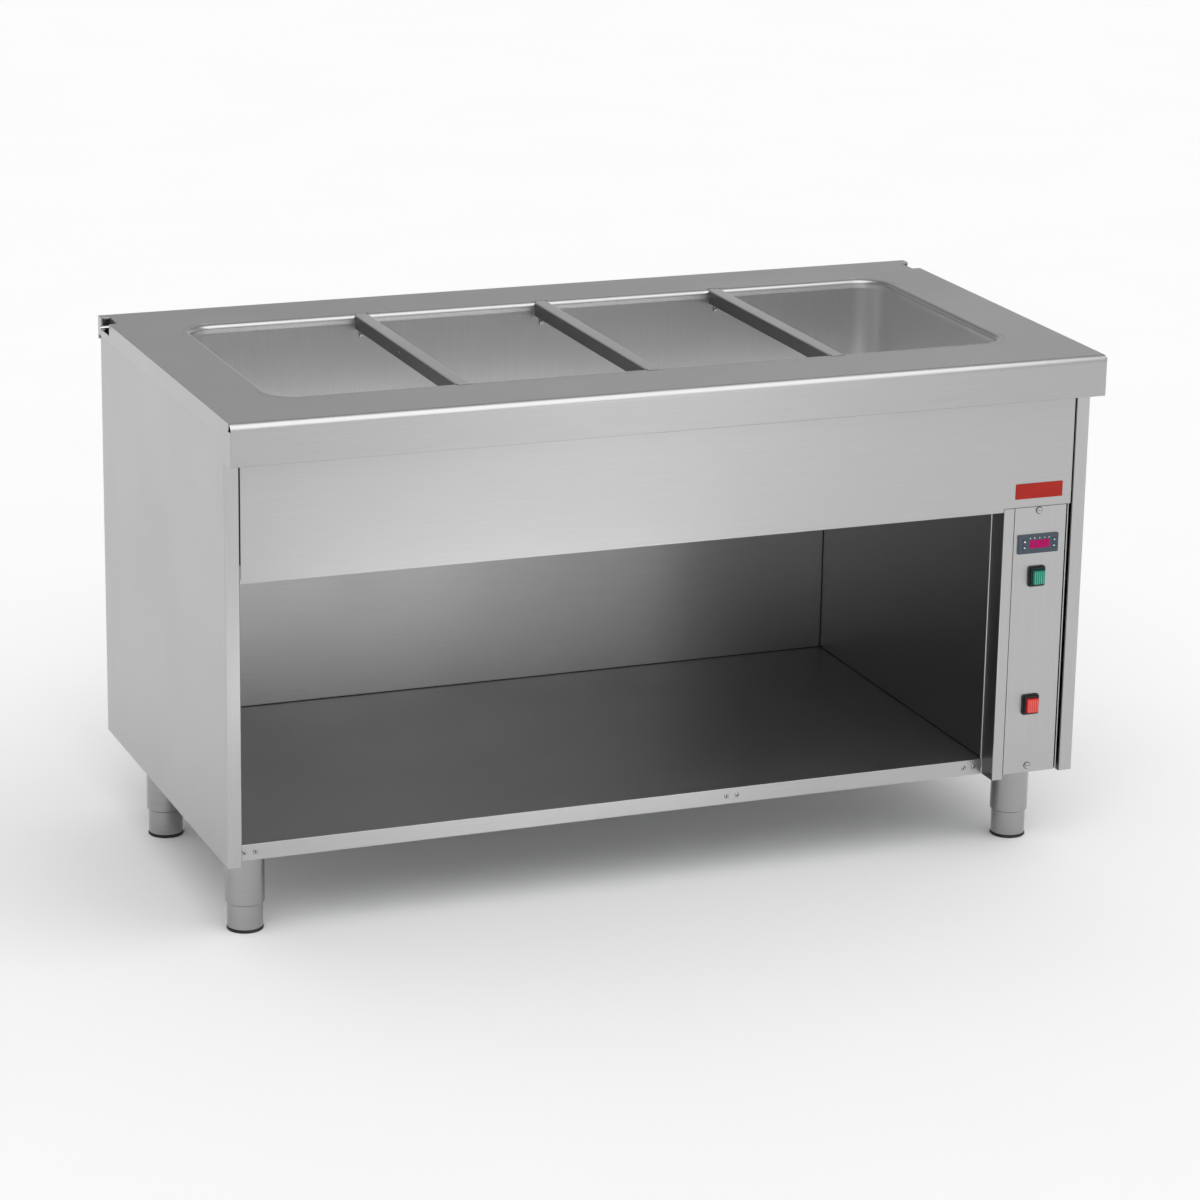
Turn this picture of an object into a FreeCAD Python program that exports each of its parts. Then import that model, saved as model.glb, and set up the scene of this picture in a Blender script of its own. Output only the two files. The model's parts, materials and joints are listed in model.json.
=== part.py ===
"""Bain-marie counter for four GN 1/1 pans, built as folded sheet pieces on levelling legs.

All lengths are in millimetres. +X runs to the right of someone who stands at the front,
+Y to the back and +Z up. The origin lies on the floor under the middle of the counter.
"""

import FreeCAD, Part
import Sketcher
import os
from types import SimpleNamespace

# Driving dimensions, each a cell of the sheet
SIZES = {
    # Deck: a folded sheet with a deep front apron
    "deck_width": 1500.0,
    "deck_depth": 780.0,
    "counter_height": 880.0,
    "deck_gauge": 2.0,
    "apron_height": 68.0,
    "apron_return": 18.0,
    "nose_radius": 12.0,
    "side_drop": 32.0,
    "rear_drop": 40.0,
    # Opening in the deck, measured at the flat of the sheet
    "opening_end_border": 106.0,
    "opening_setback": 138.0,
    "opening_rear_border": 121.0,
    "opening_corner": 54.5,
    "rim_radius": 7.5,
    "rim_land": 6.0,
    "rim_drop": 14.0,
    # Joining notches near the rear corners
    "notch_length": 50.0,
    "notch_depth": 15.0,
    "notch_fall": 20.0,
    "notch_setback": 20.0,
    "link_bolt_radius": 4.0,
    "link_bolt_reach": 8.5,
    "link_bolt_shoulder_radius": 4.3,
    "link_bolt_head_radius": 6.5,
    "link_bolt_head_height": 5.3,
    "link_hole_radius": 4.5,
    "link_height": 12.0,
    "bracket_gauge": 3.0,
    "bracket_drop": 30.0,
    "bracket_tab_gap": 1.6,
    # Well
    "well_depth": 200.0,
    "well_gauge": 1.5,
    "well_floor_radius": 25.0,
    # Cross bars, which leave room for four pans of one standard width
    "pan_rest": 6.0,
    "bar_width": 24.0,
    "bar_height": 24.0,
    "bar_gauge": 1.2,
    "bar_return": 5.0,
    "bar_edge_radius": 2.0,
    "bar_pin_radius": 2.0,
    "bar_pin_setback": 230.0,
    "bar_loop_radius": 5.0,
    "bar_loop_setback": 22.0,
    "lift_clearance": 0.3,
    # Insulation and heating
    "insulation": 25.0,
    "insulation_drop": 17.2,
    "insulation_gap": 0.5,
    "heater_tube_radius": 4.0,
    "heater_bend_radius": 50.0,
    "heater_end_room": 53.0,
    "heater_drain_room": 10.0,
    "heater_gap": 0.3,
    "heater_room": 0.6,
    "clamp_width": 20.0,
    "clamp_gauge": 1.5,
    "clamp_overhang": 15.0,
    "clamp_stud_radius": 3.0,
    "probe_radius": 3.0,
    "probe_length": 60.0,
    # Drain
    "drain_end_inset": 61.5,
    "drain_rear_inset": 111.5,
    "drain_flange_radius": 25.0,
    "drain_flange_gauge": 2.0,
    "drain_body_radius": 18.5,
    "drain_bore_radius": 14.0,
    "drain_nut_radius": 24.0,
    "drain_nut_height": 6.0,
    "drain_clearance": 6.0,
    "strainer_gauge": 1.5,
    "strainer_hole_radius": 2.0,
    "strainer_ring_radius": 8.0,
    "pipe_radius": 13.0,
    "pipe_bore_radius": 10.0,
    "elbow_radius": 15.5,
    "pipe_drop": 16.1,
    "pipe_slot_clearance": 0.5,
    "downpipe_inset": 61.6,
    "valve_centre": 85.0,
    "valve_body_radius": 19.0,
    "valve_body_height": 50.0,
    "valve_collar_radius": 16.5,
    "outlet_length": 22.0,
    "valve_stem_radius": 4.0,
    "valve_stem_reach": 14.0,
    "valve_boss_radius": 9.0,
    "lever_length": 58.0,
    "lever_width": 16.0,
    "lever_gauge": 3.0,
    "lever_hub_radius": 9.0,
    "stem_clearance": 0.05,
    # Carcass
    "front_setback": 46.7,
    "rear_setback": 5.0,
    "end_inset": 2.6,
    "panel_flange": 23.0,
    "panel_drop": 22.4,
    "panel_gauge": 1.2,
    "liner_gauge": 1.0,
    "back_fold": 20.0,
    "fascia_gap_west": 2.4,
    "fascia_gap_east": 3.6,
    "fascia_fold": 15.0,
    "rail_show": 7.0,
    "rail_height": 30.0,
    "rail_depth": 25.0,
    "stiffener_width": 30.0,
    "stiffener_height": 20.0,
    "stiffener_inset": 25.4,
    "stiffener_front_gap": 24.0,
    "stiffener_rear_gap": 4.0,
    # Shelf and base
    "shelf_height": 167.4,
    "shelf_skirt": 27.4,
    "shelf_return": 12.0,
    "base_rail_gauge": 1.5,
    "base_rail_height": 25.2,
    "base_rail_room": 5.7,
    "rivet_radius": 4.0,
    "rivet_gauge": 1.2,
    "rivet_shank_radius": 2.3,
    "rivet_hole_radius": 2.4,
    "rivet_eye_radius": 1.6,
    "rivet_pitch": 19.0,
    "rivet_drop": 13.7,
    "rivet_end_inset": 24.4,
    "rivet_middle_east": 135.0,
    # Technical column at the right end
    "column_depth": 41.2,
    "column_flange": 19.3,
    "column_fold": 14.0,
    "cover_gap": 0.7,
    "cover_width": 96.2,
    "cover_end_gap": 10.0,
    "cover_drop": 17.9,
    "cover_fold": 12.0,
    "jamb_gap": 2.6,
    "jamb_gauge": 2.0,
    "strip_height": 26.0,
    "screw_inset": 12.5,
    "screw_head_radius": 4.2,
    "screw_head_height": 2.6,
    "screw_washer_radius": 5.2,
    "screw_washer_gauge": 1.0,
    "screw_shank_radius": 2.2,
    "screw_hole_radius": 2.5,
    "screw_length": 20.0,
    "screw_slot_width": 1.0,
    "screw_slot_depth": 1.2,
    # Thermostat
    "controls_lead": 3.3,
    "display_drop": 63.6,
    "display_width": 74.5,
    "display_height": 32.5,
    "display_proud": 4.0,
    "display_edge_radius": 1.5,
    "display_side_border": 2.25,
    "display_end_border": 2.05,
    "display_body_depth": 55.0,
    "cutout_clearance": 0.3,
    "window_inset": 18.75,
    "window_height": 14.3,
    "window_recess": 1.0,
    "window_lead": 1.6,
    "key_width": 7.0,
    "key_height": 5.6,
    "key_pitch": 10.2,
    "key_inset": 9.65,
    "key_gauge": 1.6,
    "key_proud": 0.5,
    "key_clearance": 0.3,
    "key_travel_room": 0.9,
    # Rocker switches
    "green_drop": 120.4,
    "red_rise": 122.0,
    "switch_side_border": 2.5,
    "switch_end_border": 3.0,
    "switch_flange": 3.0,
    "switch_corner": 5.0,
    "shroud_side_wall": 2.0,
    "shroud_end_wall": 1.7,
    "shroud_proud": 9.0,
    "shroud_corner": 2.0,
    "switch_side_wall": 2.7,
    "switch_end_wall": 1.4,
    "switch_body_depth": 24.0,
    "rocker_width": 21.0,
    "rocker_height": 24.0,
    "rocker_proud": 13.5,
    "rocker_side_gap": 0.3,
    "rocker_swing_gap": 1.6,
    "rocker_back_room": 3.2,
    "rocker_pivot_proud": 5.0,
    "rocker_back": 5.0,
    "rocker_pin_radius": 1.2,
    "rocker_pin_length": 1.2,
    "rocker_pin_room": 0.3,
    "rocker_pin_clearance": 0.05,
    "rocker_edge_radius": 1.2,
    # Electrical gear
    "gear_rise": 232.6,
    "din_width": 35.0,
    "din_depth": 7.5,
    "din_length": 220.0,
    "din_setback": 192.1,
    "contactor_width": 45.0,
    "contactor_height": 75.0,
    "contactor_depth": 60.0,
    "contactor_setback": 217.1,
    "contactor_step": 12.0,
    "terminal_width": 70.0,
    "terminal_height": 42.0,
    "terminal_depth": 38.0,
    "terminal_setback": 282.1,
    "terminal_pitch": 10.0,
    "terminal_slot": 4.0,
    "safety_drop": 101.6,
    "safety_size": 38.0,
    "safety_depth": 24.0,
    "safety_setback": 242.1,
    "safety_bush_radius": 5.0,
    "safety_bush_length": 12.0,
    "gland_rise": 32.6,
    "gland_radius": 12.0,
    "gland_bore_radius": 5.5,
    "gland_thread_radius": 9.5,
    "gland_hole_radius": 9.8,
    "gland_nut_height": 5.0,
    "gland_dome_height": 11.0,
    "gland_tail": 9.0,
    # Plate on the fascia
    "plate_width": 87.0,
    "plate_height": 26.4,
    "plate_gauge": 1.0,
    "plate_inset": 17.3,
    "plate_rise": 27.7,
    "plate_corner": 1.5,
    # Legs
    "leg_end_room": 0.9,
    "leg_setback": 155.0,
    "sleeve_radius": 32.0,
    "sleeve_wall": 2.6,
    "sleeve_base": 46.0,
    "sleeve_chamfer": 2.2,
    "leg_plate_room": 5.2,
    "leg_plate_gauge": 4.0,
    "foot_clearance": 0.4,
    "foot_engagement": 50.0,
    "foot_chamfer": 2.0,
    "foot_wall": 3.0,
    "foot_base": 8.0,
    "pad_border": 1.0,
    "pad_height": 5.0,
    "pad_edge_radius": 2.0,
    "leg_bolt_inset": 3.0,
    "leg_bolt_radius": 3.0,
    "leg_bolt_head_radius": 5.8,
    "leg_bolt_head_height": 4.0,
    "leg_bolt_length": 14.0,
    "leg_hole_radius": 3.3,
    # How far a cut runs past the face that it opens
    "overrun": 5.0,
}


# Where the straps of a heating element lie along its straight run
STRAP_SHARES = (0.2, 0.8)

# Two places closer than this count as the same one
SAME_PLACE = SIZES["overrun"] / 1000


class Length:
    """A length together with the formula of sheet cells that gives it."""

    def __init__(self, value, text):
        self.value = value
        self.text = text

    def __add__(self, other):
        return Length(self.value + other.value, f"{self.text} + {other.text}")

    def __sub__(self, other):
        return Length(self.value - other.value, f"{self.text} - ({other.text})")

    def __neg__(self):
        return Length(-self.value, f"-({self.text})")

    def __mul__(self, count):
        return Length(self.value * count, f"({self.text}) * {count}")

    def __truediv__(self, count):
        return Length(self.value / count, f"({self.text}) / {count}")


doc = FreeCAD.newDocument("BainMarieCounter")
sheet = doc.addObject("Spreadsheet::Sheet", "Sizes")
for row, (alias, value) in enumerate(SIZES.items(), start=1):
    sheet.set(f"A{row}", alias)
    sheet.set(f"B{row}", str(value))
    sheet.setAlias(f"B{row}", alias)
doc.recompute()

s = SimpleNamespace(**{alias: Length(value, f"Sizes.{alias}") for alias, value in SIZES.items()})
NONE = Length(0.0, "0")
TURN = {
    "x": FreeCAD.Rotation(FreeCAD.Vector(0, 1, 0), 90),
    "y": FreeCAD.Rotation(FreeCAD.Vector(1, 0, 0), -90),
    "z": FreeCAD.Rotation(),
}
subparts = []


def about(centre, width):
    """The two ends of a width that is centred on a place."""
    return centre - width / 2, centre + width / 2


def grown(span, margin):
    """A span made longer by a margin at each end."""
    return span[0] - margin, span[1] + margin


def mirrored(side, near, far):
    """The span between two distances from the middle, on the left (-1) or right (1)."""
    return (near, far) if side > 0 else (-far, -near)


def subpart(label):
    """A new body, which becomes one piece of the counter."""
    body = doc.addObject("PartDesign::Body", label)
    body.AllowCompound = True
    subparts.append(body)
    return body


def bind(item, values):
    """Tie properties of an item to formulas of the sheet."""
    for path, length in values.items():
        item.setExpression(path, length.text)


def feature(body, kind, title, values, spot, turn="z"):
    """Add a primitive to a body, or take it away, at a spot and turned to an axis."""
    item = body.newObject(f"PartDesign::{kind}", f"{body.Label}_{title}")
    item.Placement = FreeCAD.Placement(FreeCAD.Vector(), TURN[turn])
    bind(item, values)
    bind(item, {f"Placement.Base.{axis}": place for axis, place in zip("xyz", spot)})
    return item


def block(body, title, x, y, z, kind="AdditiveBox"):
    """A rectangular block between two places along each axis."""
    values = {"Length": x[1] - x[0], "Width": y[1] - y[0], "Height": z[1] - z[0]}
    return feature(body, kind, title, values, (x[0], y[0], z[0]))


def pocket(body, title, x, y, z):
    """A rectangular cut between two places along each axis."""
    return block(body, title, x, y, z, "SubtractiveBox")


def rod(body, title, axis, radius, span, across, kind="AdditiveCylinder"):
    """A cylinder along an axis, over a span of it, at two places across it."""
    values = {"Radius": radius, "Height": span[1] - span[0]}
    spot = list(across)
    spot.insert("xyz".index(axis), span[0])
    return feature(body, kind, title, values, spot, axis)


def bore(body, title, axis, radius, span, across):
    """A round cut along an axis, over a span of it, at two places across it."""
    return rod(body, title, axis, radius, span, across, "SubtractiveCylinder")


def hexagon(body, title, axis, radius, span, across):
    """A hexagonal head or nut along an axis."""
    values = {"Circumradius": radius, "Height": span[1] - span[0]}
    spot = list(across)
    spot.insert("xyz".index(axis), span[0])
    return feature(body, "AdditivePrism", title, values, spot, axis)


def edges(item, test):
    """Names of the edges of a shape whose boxes pass a test."""
    doc.recompute()
    names = [f"Edge{i}" for i, edge in enumerate(item.Shape.Edges, start=1) if test(edge.BoundBox)]
    if not names:
        raise RuntimeError(f"{item.Label} has no edge to round")
    return names


def rounded(item, title, radius, test, kind="Fillet"):
    """Round or chamfer the edges of the newest feature that pass a test."""
    body = item.getParentGeoFeatureGroup()
    names = edges(item, test)
    blend = body.newObject(f"PartDesign::{kind}", f"{body.Label}_{title}")
    blend.Base = (item, names)
    bind(blend, {"Radius" if kind == "Fillet" else "Size": radius})
    doc.recompute()
    return blend


def near(value, length):
    """Whether a coordinate lies at a named place."""
    return abs(value - length.value) < SAME_PLACE


def upright(box):
    """Whether an edge runs straight up."""
    return box.XLength < SAME_PLACE and box.YLength < SAME_PLACE


def along(box, axis):
    """Whether an edge runs straight along an axis."""
    lengths = {"x": box.XLength, "y": box.YLength, "z": box.ZLength}
    longest = lengths.pop(axis)
    return longest > SAME_PLACE > max(lengths.values())


def outline(body, title, role, corners):
    """A closed outline on an origin plane, with each corner tied to the sheet."""
    sketch = body.newObject("Sketcher::SketchObject", f"{body.Label}_{title}")
    plane = [item for item in body.Origin.OriginFeatures if item.Role == role][0]
    sketch.AttachmentSupport = [(plane, "")]
    sketch.MapMode = "FlatFace"
    points = [FreeCAD.Vector(across.value, up.value, 0) for across, up in corners]
    for index, point in enumerate(points):
        sketch.addGeometry(Part.LineSegment(point, points[(index + 1) % len(points)]))
    for index in range(len(points)):
        following = (index + 1) % len(points)
        sketch.addConstraint(Sketcher.Constraint("Coincident", index, 2, following, 1))
    for index, (across, up) in enumerate(corners):
        for kind, length in (("DistanceX", across), ("DistanceY", up)):
            rule = Sketcher.Constraint(kind, -1, 1, index, 1, length.value)
            number = sketch.addConstraint(rule)
            sketch.setExpression(f"Constraints[{number}]", length.text)
    return sketch


def pad(body, title, sketch, length, start=None):
    """Extrude an outline by a length, from a place behind its plane or half to each side."""
    item = body.newObject("PartDesign::Pad", f"{body.Label}_{title}")
    item.Profile = sketch
    item.Midplane = start is None
    bind(item, {"Length": length})
    if start is not None:
        item.Reversed = True
        bind(sketch, {"AttachmentOffset.Base.z": -start})
    return item


# Levels and faces that several pieces share
top = s.counter_height
deck_under = top - s.deck_gauge
apron_base = top - s.apron_height
front_edge = -s.deck_depth / 2
back_edge = s.deck_depth / 2
east_edge = s.deck_width / 2
body_front = front_edge + s.front_setback
body_back = back_edge - s.rear_setback
panel_face = east_edge - s.end_inset
flange_edge = panel_face - s.panel_flange
liner_face = flange_edge - s.liner_gauge
back_face = body_back - s.back_fold
opening_y = (front_edge + s.opening_setback, back_edge - s.opening_rear_border)
opening_x = (s.opening_end_border - east_edge, east_edge - s.opening_end_border)
pan_step = (opening_x[1] + s.pan_rest) / 2
well_x = (opening_x[0] + s.rim_radius, opening_x[1] - s.rim_radius)
well_y = (opening_y[0] + s.rim_radius, opening_y[1] - s.rim_radius)
well_corner = s.opening_corner - s.rim_radius
seam = s.rim_radius + s.rim_land
seam_x = grown(well_x, seam)
seam_y = grown(well_y, seam)
well_top = top - s.rim_drop
well_floor = top - s.well_depth
well_under = well_floor - s.well_gauge
notch_y = (back_edge - s.notch_setback - s.notch_length, back_edge - s.notch_setback)
notch_x = (east_edge - s.notch_depth, east_edge)
link_y = (notch_y[0] + notch_y[1]) / 2
link_z = top - s.link_height
tube_z = well_under - s.heater_gap - s.heater_tube_radius
strap_top = tube_z - s.heater_tube_radius - s.heater_gap
tray_floor = strap_top - s.clamp_gauge - s.heater_room
ceiling_top = tray_floor - s.insulation
ceiling_under = ceiling_top - s.panel_gauge
rail_base = ceiling_under - s.rail_height
fascia_base = rail_base + s.rail_show
fascia_x = (s.fascia_gap_west - flange_edge, flange_edge - s.fascia_gap_east)
shelf_front = body_front + s.column_depth
shelf_under = s.shelf_height - s.panel_gauge
panel_base = s.shelf_height - s.panel_drop
base_rail_base = shelf_under - s.base_rail_height
cover_base = s.shelf_height - s.cover_drop
cover_top = fascia_base - s.cover_gap
cover_x = (liner_face - s.cover_end_gap - s.cover_width, liner_face - s.cover_end_gap)
column_face = cover_x[0] - s.cover_gap - s.column_flange
column_inner = column_face + s.panel_gauge
controls_x = (cover_x[0] + cover_x[1]) / 2 - s.controls_lead
display_z = cover_top - s.display_drop
green_z = cover_top - s.green_drop
red_z = cover_base + s.red_rise
gear_z = s.shelf_height + s.gear_rise
downpipe_x = column_inner + s.downpipe_inset
drain = (well_x[1] - s.drain_end_inset, well_y[1] - s.drain_rear_inset)
pipe_z = ceiling_under - s.pipe_drop
bore_radius = s.sleeve_radius - s.sleeve_wall
foot_radius = bore_radius - s.foot_clearance
leg_bolt_offset = s.sleeve_radius - s.leg_bolt_inset
leg_bolt_reach = leg_bolt_offset + s.leg_bolt_head_radius
bars = {"left": -pan_step, "centre": NONE, "right": pan_step}
seat_depth = s.bar_gauge + s.lift_clearance


def at_corner(box, span_x, span_y):
    """Whether an upright edge stands at a corner of two spans."""
    x_fits = near(box.XMin, span_x[0]) or near(box.XMin, span_x[1])
    y_fits = near(box.YMin, span_y[0]) or near(box.YMin, span_y[1])
    return upright(box) and x_fits and y_fits


def within(box, span_x, span_y):
    """Whether an edge lies inside two spans, seen from above."""
    x_fits = (box.XMin > span_x[0].value - SAME_PLACE
              and box.XMax < span_x[1].value + SAME_PLACE)
    y_fits = (box.YMin > span_y[0].value - SAME_PLACE
              and box.YMax < span_y[1].value + SAME_PLACE)
    return x_fits and y_fits


def level(box, height):
    """Whether an edge lies flat at a height."""
    return near(box.ZMin, height) and near(box.ZMax, height)


def counter_deck():
    """Folded top with apron and rear drop, open where the rim is welded in."""
    body = subpart("counter_deck")
    section = outline(body, "section", "YZ_Plane", [
        (front_edge + s.apron_return, apron_base),
        (front_edge, apron_base),
        (front_edge, top),
        (back_edge, top),
        (back_edge, top - s.rear_drop),
        (back_edge - s.deck_gauge, top - s.rear_drop),
        (back_edge - s.deck_gauge, deck_under),
        (front_edge + s.deck_gauge, deck_under),
        (front_edge + s.deck_gauge, apron_base + s.deck_gauge),
        (front_edge + s.apron_return, apron_base + s.deck_gauge),
    ])
    sheet_metal = pad(body, "fold", section, s.deck_width)

    def nose(box):
        return near(box.ZMin, top) and near(box.YMin, front_edge) and along(box, "x")

    def under_nose(box):
        return (near(box.ZMin, deck_under) and near(box.YMin, front_edge + s.deck_gauge)
                and along(box, "x"))

    folded = rounded(sheet_metal, "nose", s.nose_radius, nose)
    rounded(folded, "nose_inside", s.nose_radius - s.deck_gauge, under_nose)
    for side in (-1, 1):
        wall = mirrored(side, east_edge - s.deck_gauge, east_edge)
        block(body, "apron_shoulder", wall, (front_edge + s.nose_radius, body_front),
              (apron_base, deck_under))
        block(body, "apron_end", wall, (front_edge + s.deck_gauge, body_front),
              (apron_base, top - s.nose_radius))
    hole = pocket(body, "opening", seam_x, seam_y, (deck_under - s.overrun, top + s.overrun))
    rounded(hole, "opening_corners", well_corner + seam, lambda box: at_corner(box, seam_x, seam_y))
    for side in (-1, 1):
        pocket(body, "notch", mirrored(side, notch_x[0], notch_x[1] + s.overrun), notch_y,
               (deck_under - s.overrun, top + s.overrun))


def deck_rim():
    """Rolled rim of the opening, welded into the deck, with the seats of the cross bars."""
    body = subpart("deck_rim")
    collar_x = grown(well_x, s.deck_gauge)
    collar_y = grown(well_y, s.deck_gauge)
    block(body, "land", seam_x, seam_y, (deck_under, top))
    block(body, "collar", collar_x, collar_y, (well_top, deck_under))
    hole = pocket(body, "opening", well_x, well_y, (well_top - s.overrun, top + s.overrun))
    hole = rounded(hole, "opening_corners", well_corner,
                   lambda box: at_corner(box, well_x, well_y))
    hole = rounded(hole, "collar_corners", well_corner + s.deck_gauge,
                   lambda box: at_corner(box, collar_x, collar_y))
    hole = rounded(hole, "seam_corners", well_corner + seam,
                   lambda box: at_corner(box, seam_x, seam_y))
    rim = rounded(hole, "rim_inside", s.rim_radius - s.deck_gauge,
                  lambda box: level(box, deck_under) and within(box, collar_x, collar_y))
    rounded(rim, "rim", s.rim_radius,
            lambda box: level(box, top) and within(box, well_x, well_y))
    for x in bars.values():
        for y in (opening_y[0], opening_y[1]):
            pocket(body, "bar_seat", about(x, s.bar_width + s.lift_clearance * 2),
                   about(y, (s.rim_radius + s.lift_clearance) * 2),
                   (top - seat_depth, top + s.overrun))


def deck_edges():
    """Edge strips under the deck's two ends, each with its joining notch."""
    body = subpart("deck_edges")
    for side in (-1, 1):
        block(body, "strip", mirrored(side, east_edge - s.deck_gauge, east_edge),
              (body_front, back_edge - s.deck_gauge), (top - s.side_drop, deck_under))
        pocket(body, "notch", mirrored(side, notch_x[0], notch_x[1] + s.overrun), notch_y,
               (top - s.notch_fall, top))


def deck_stiffeners():
    """Two channels under the ends of the deck."""
    body = subpart("deck_stiffeners")
    for side in (-1, 1):
        far = liner_face - s.stiffener_inset
        run = (body_front + s.stiffener_front_gap, back_face - s.stiffener_rear_gap)
        block(body, "channel", mirrored(side, far - s.stiffener_width, far), run,
              (deck_under - s.stiffener_height, deck_under))
        pocket(body, "hollow",
               mirrored(side, far - s.stiffener_width + s.panel_gauge, far - s.panel_gauge),
               grown(run, s.overrun),
               (deck_under - s.stiffener_height - s.overrun, deck_under - s.panel_gauge))


def well_tank():
    """Water well with rounded corners and a drain hole."""
    body = subpart("well_tank")
    outer_x = grown(well_x, s.well_gauge)
    outer_y = grown(well_y, s.well_gauge)
    block(body, "outside", outer_x, outer_y, (well_under, well_top))
    shell = pocket(body, "inside", well_x, well_y, (well_floor, well_top + s.overrun))
    shell = rounded(shell, "inside_corners", well_corner,
                    lambda box: at_corner(box, well_x, well_y))
    shell = rounded(shell, "outside_corners", well_corner + s.well_gauge,
                    lambda box: at_corner(box, outer_x, outer_y))
    shell = rounded(shell, "inside_floor", s.well_floor_radius,
                    lambda box: level(box, well_floor))
    rounded(shell, "outside_floor", s.well_floor_radius + s.well_gauge,
            lambda box: level(box, well_under))
    bore(body, "drain_hole", "z", s.drain_body_radius,
         (well_under - s.overrun, well_floor + s.overrun), drain)


def pan_bar(name, x):
    """Lift-out bar between two pans: a channel with a tongue at each end."""
    body = subpart(f"pan_bar_{name}")
    half = s.bar_width / 2
    inner = half - s.bar_gauge
    low = top - s.bar_height
    section = outline(body, "section", "XZ_Plane", [
        (x - half, top),
        (x - half, low),
        (x - half + s.bar_return, low),
        (x - half + s.bar_return, low + s.bar_gauge),
        (x - inner, low + s.bar_gauge),
        (x - inner, top - s.bar_gauge),
        (x + inner, top - s.bar_gauge),
        (x + inner, low + s.bar_gauge),
        (x + half - s.bar_return, low + s.bar_gauge),
        (x + half - s.bar_return, low),
        (x + half, low),
        (x + half, top),
    ])
    middle = (well_y[0] + well_y[1]) / 2
    run = grown(well_y, -s.lift_clearance)
    channel = pad(body, "channel", section, run[1] - run[0], run[0])
    rounded(channel, "edges", s.bar_edge_radius,
            lambda box: along(box, "y") and near(box.ZMin, top))
    tongue = (x - half + s.bar_edge_radius, x + half - s.bar_edge_radius)
    ends = ((opening_y[0], middle), (middle, opening_y[1]))
    for end in ends:
        block(body, "tongue", tongue, end, (top - s.bar_gauge, top))
    loop_y = well_y[1] - s.bar_loop_setback
    loop_z = low - s.bar_loop_radius + s.bar_gauge
    flank = (x - half, x - half + s.bar_return)
    rod(body, "loop", "x", s.bar_loop_radius, flank, (loop_y, loop_z))
    bore(body, "loop_eye", "x", s.bar_loop_radius - s.bar_gauge,
         grown(flank, s.bar_gauge), (loop_y, loop_z))
    if name == "left":
        bore(body, "pin_hole", "x", s.bar_pin_radius,
             (x - half - s.overrun, x - inner + s.bar_gauge),
             (well_y[1] - s.bar_pin_setback, (top + low) / 2))


def well_insulation():
    """Insulating tray round and under the well."""
    body = subpart("well_insulation")
    inner_x = grown(well_x, s.well_gauge + s.insulation_gap)
    inner_y = grown(well_y, s.well_gauge + s.insulation_gap)
    tray_top = well_top - s.insulation_drop
    block(body, "tray", grown(inner_x, s.insulation), grown(inner_y, s.insulation),
          (ceiling_top, tray_top))
    pocket(body, "hollow", inner_x, inner_y, (tray_floor, tray_top + s.overrun))
    bore(body, "drain_hole", "z", s.drain_nut_radius + s.drain_clearance,
         grown((ceiling_top, tray_floor), s.overrun), drain)


def well_heaters():
    """One hairpin heating element under each pan, with the straps that press it up."""
    body = subpart("well_heaters")
    front = well_y[0] + s.heater_end_room
    rear = drain[1] - s.drain_nut_radius - s.heater_drain_room
    run = (front, rear - s.heater_tube_radius - s.heater_bend_radius)
    for steps in (-1.5, -0.5, 0.5, 1.5):
        x = pan_step * steps
        for side in (-1, 1):
            rod(body, "leg", "y", s.heater_tube_radius, run,
                (x + s.heater_bend_radius * side, tube_z))
        bend = feature(body, "AdditiveTorus", "bend",
                       {"Radius1": s.heater_bend_radius, "Radius2": s.heater_tube_radius},
                       (x, run[1], tube_z))
        bend.Angle3 = 180
        for share in STRAP_SHARES:
            y = run[0] + (run[1] - run[0]) * share
            block(body, "strap", about(x, (s.heater_bend_radius + s.clamp_overhang) * 2),
                  about(y, s.clamp_width), (strap_top - s.clamp_gauge, strap_top))
            rod(body, "stud", "z", s.clamp_stud_radius, (strap_top, well_under), (x, y))


def tank_probe():
    """Temperature bulb that lies under the well floor."""
    body = subpart("tank_probe")
    level_z = well_under - s.heater_gap - s.probe_radius
    rod(body, "bulb", "x", s.probe_radius, about(NONE, s.probe_length), (NONE, level_z))


def drain_fitting():
    """Flanged spigot through the well floor, with its back nut."""
    body = subpart("drain_fitting")
    rod(body, "flange", "z", s.drain_flange_radius,
        (well_floor, well_floor + s.drain_flange_gauge), drain)
    rod(body, "spigot", "z", s.drain_body_radius, (ceiling_under, well_floor), drain)
    hexagon(body, "nut", "z", s.drain_nut_radius, (well_under - s.drain_nut_height, well_under),
            drain)
    bore(body, "waterway", "z", s.drain_bore_radius,
         (ceiling_under - s.overrun, well_floor + s.drain_flange_gauge + s.overrun), drain)


def drain_strainer():
    """Perforated disc in the mouth of the drain."""
    body = subpart("drain_strainer")
    rest = well_floor + s.drain_flange_gauge - s.strainer_gauge
    rod(body, "disc", "z", s.drain_bore_radius, (rest, rest + s.strainer_gauge), drain)
    cut = grown((rest, rest + s.strainer_gauge), s.overrun)
    bore(body, "middle_hole", "z", s.strainer_hole_radius, cut, drain)
    for side in (-1, 1):
        bore(body, "hole_x", "z", s.strainer_hole_radius, cut,
             (drain[0] + s.strainer_ring_radius * side, drain[1]))
        bore(body, "hole_y", "z", s.strainer_hole_radius, cut,
             (drain[0], drain[1] + s.strainer_ring_radius * side))


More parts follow.
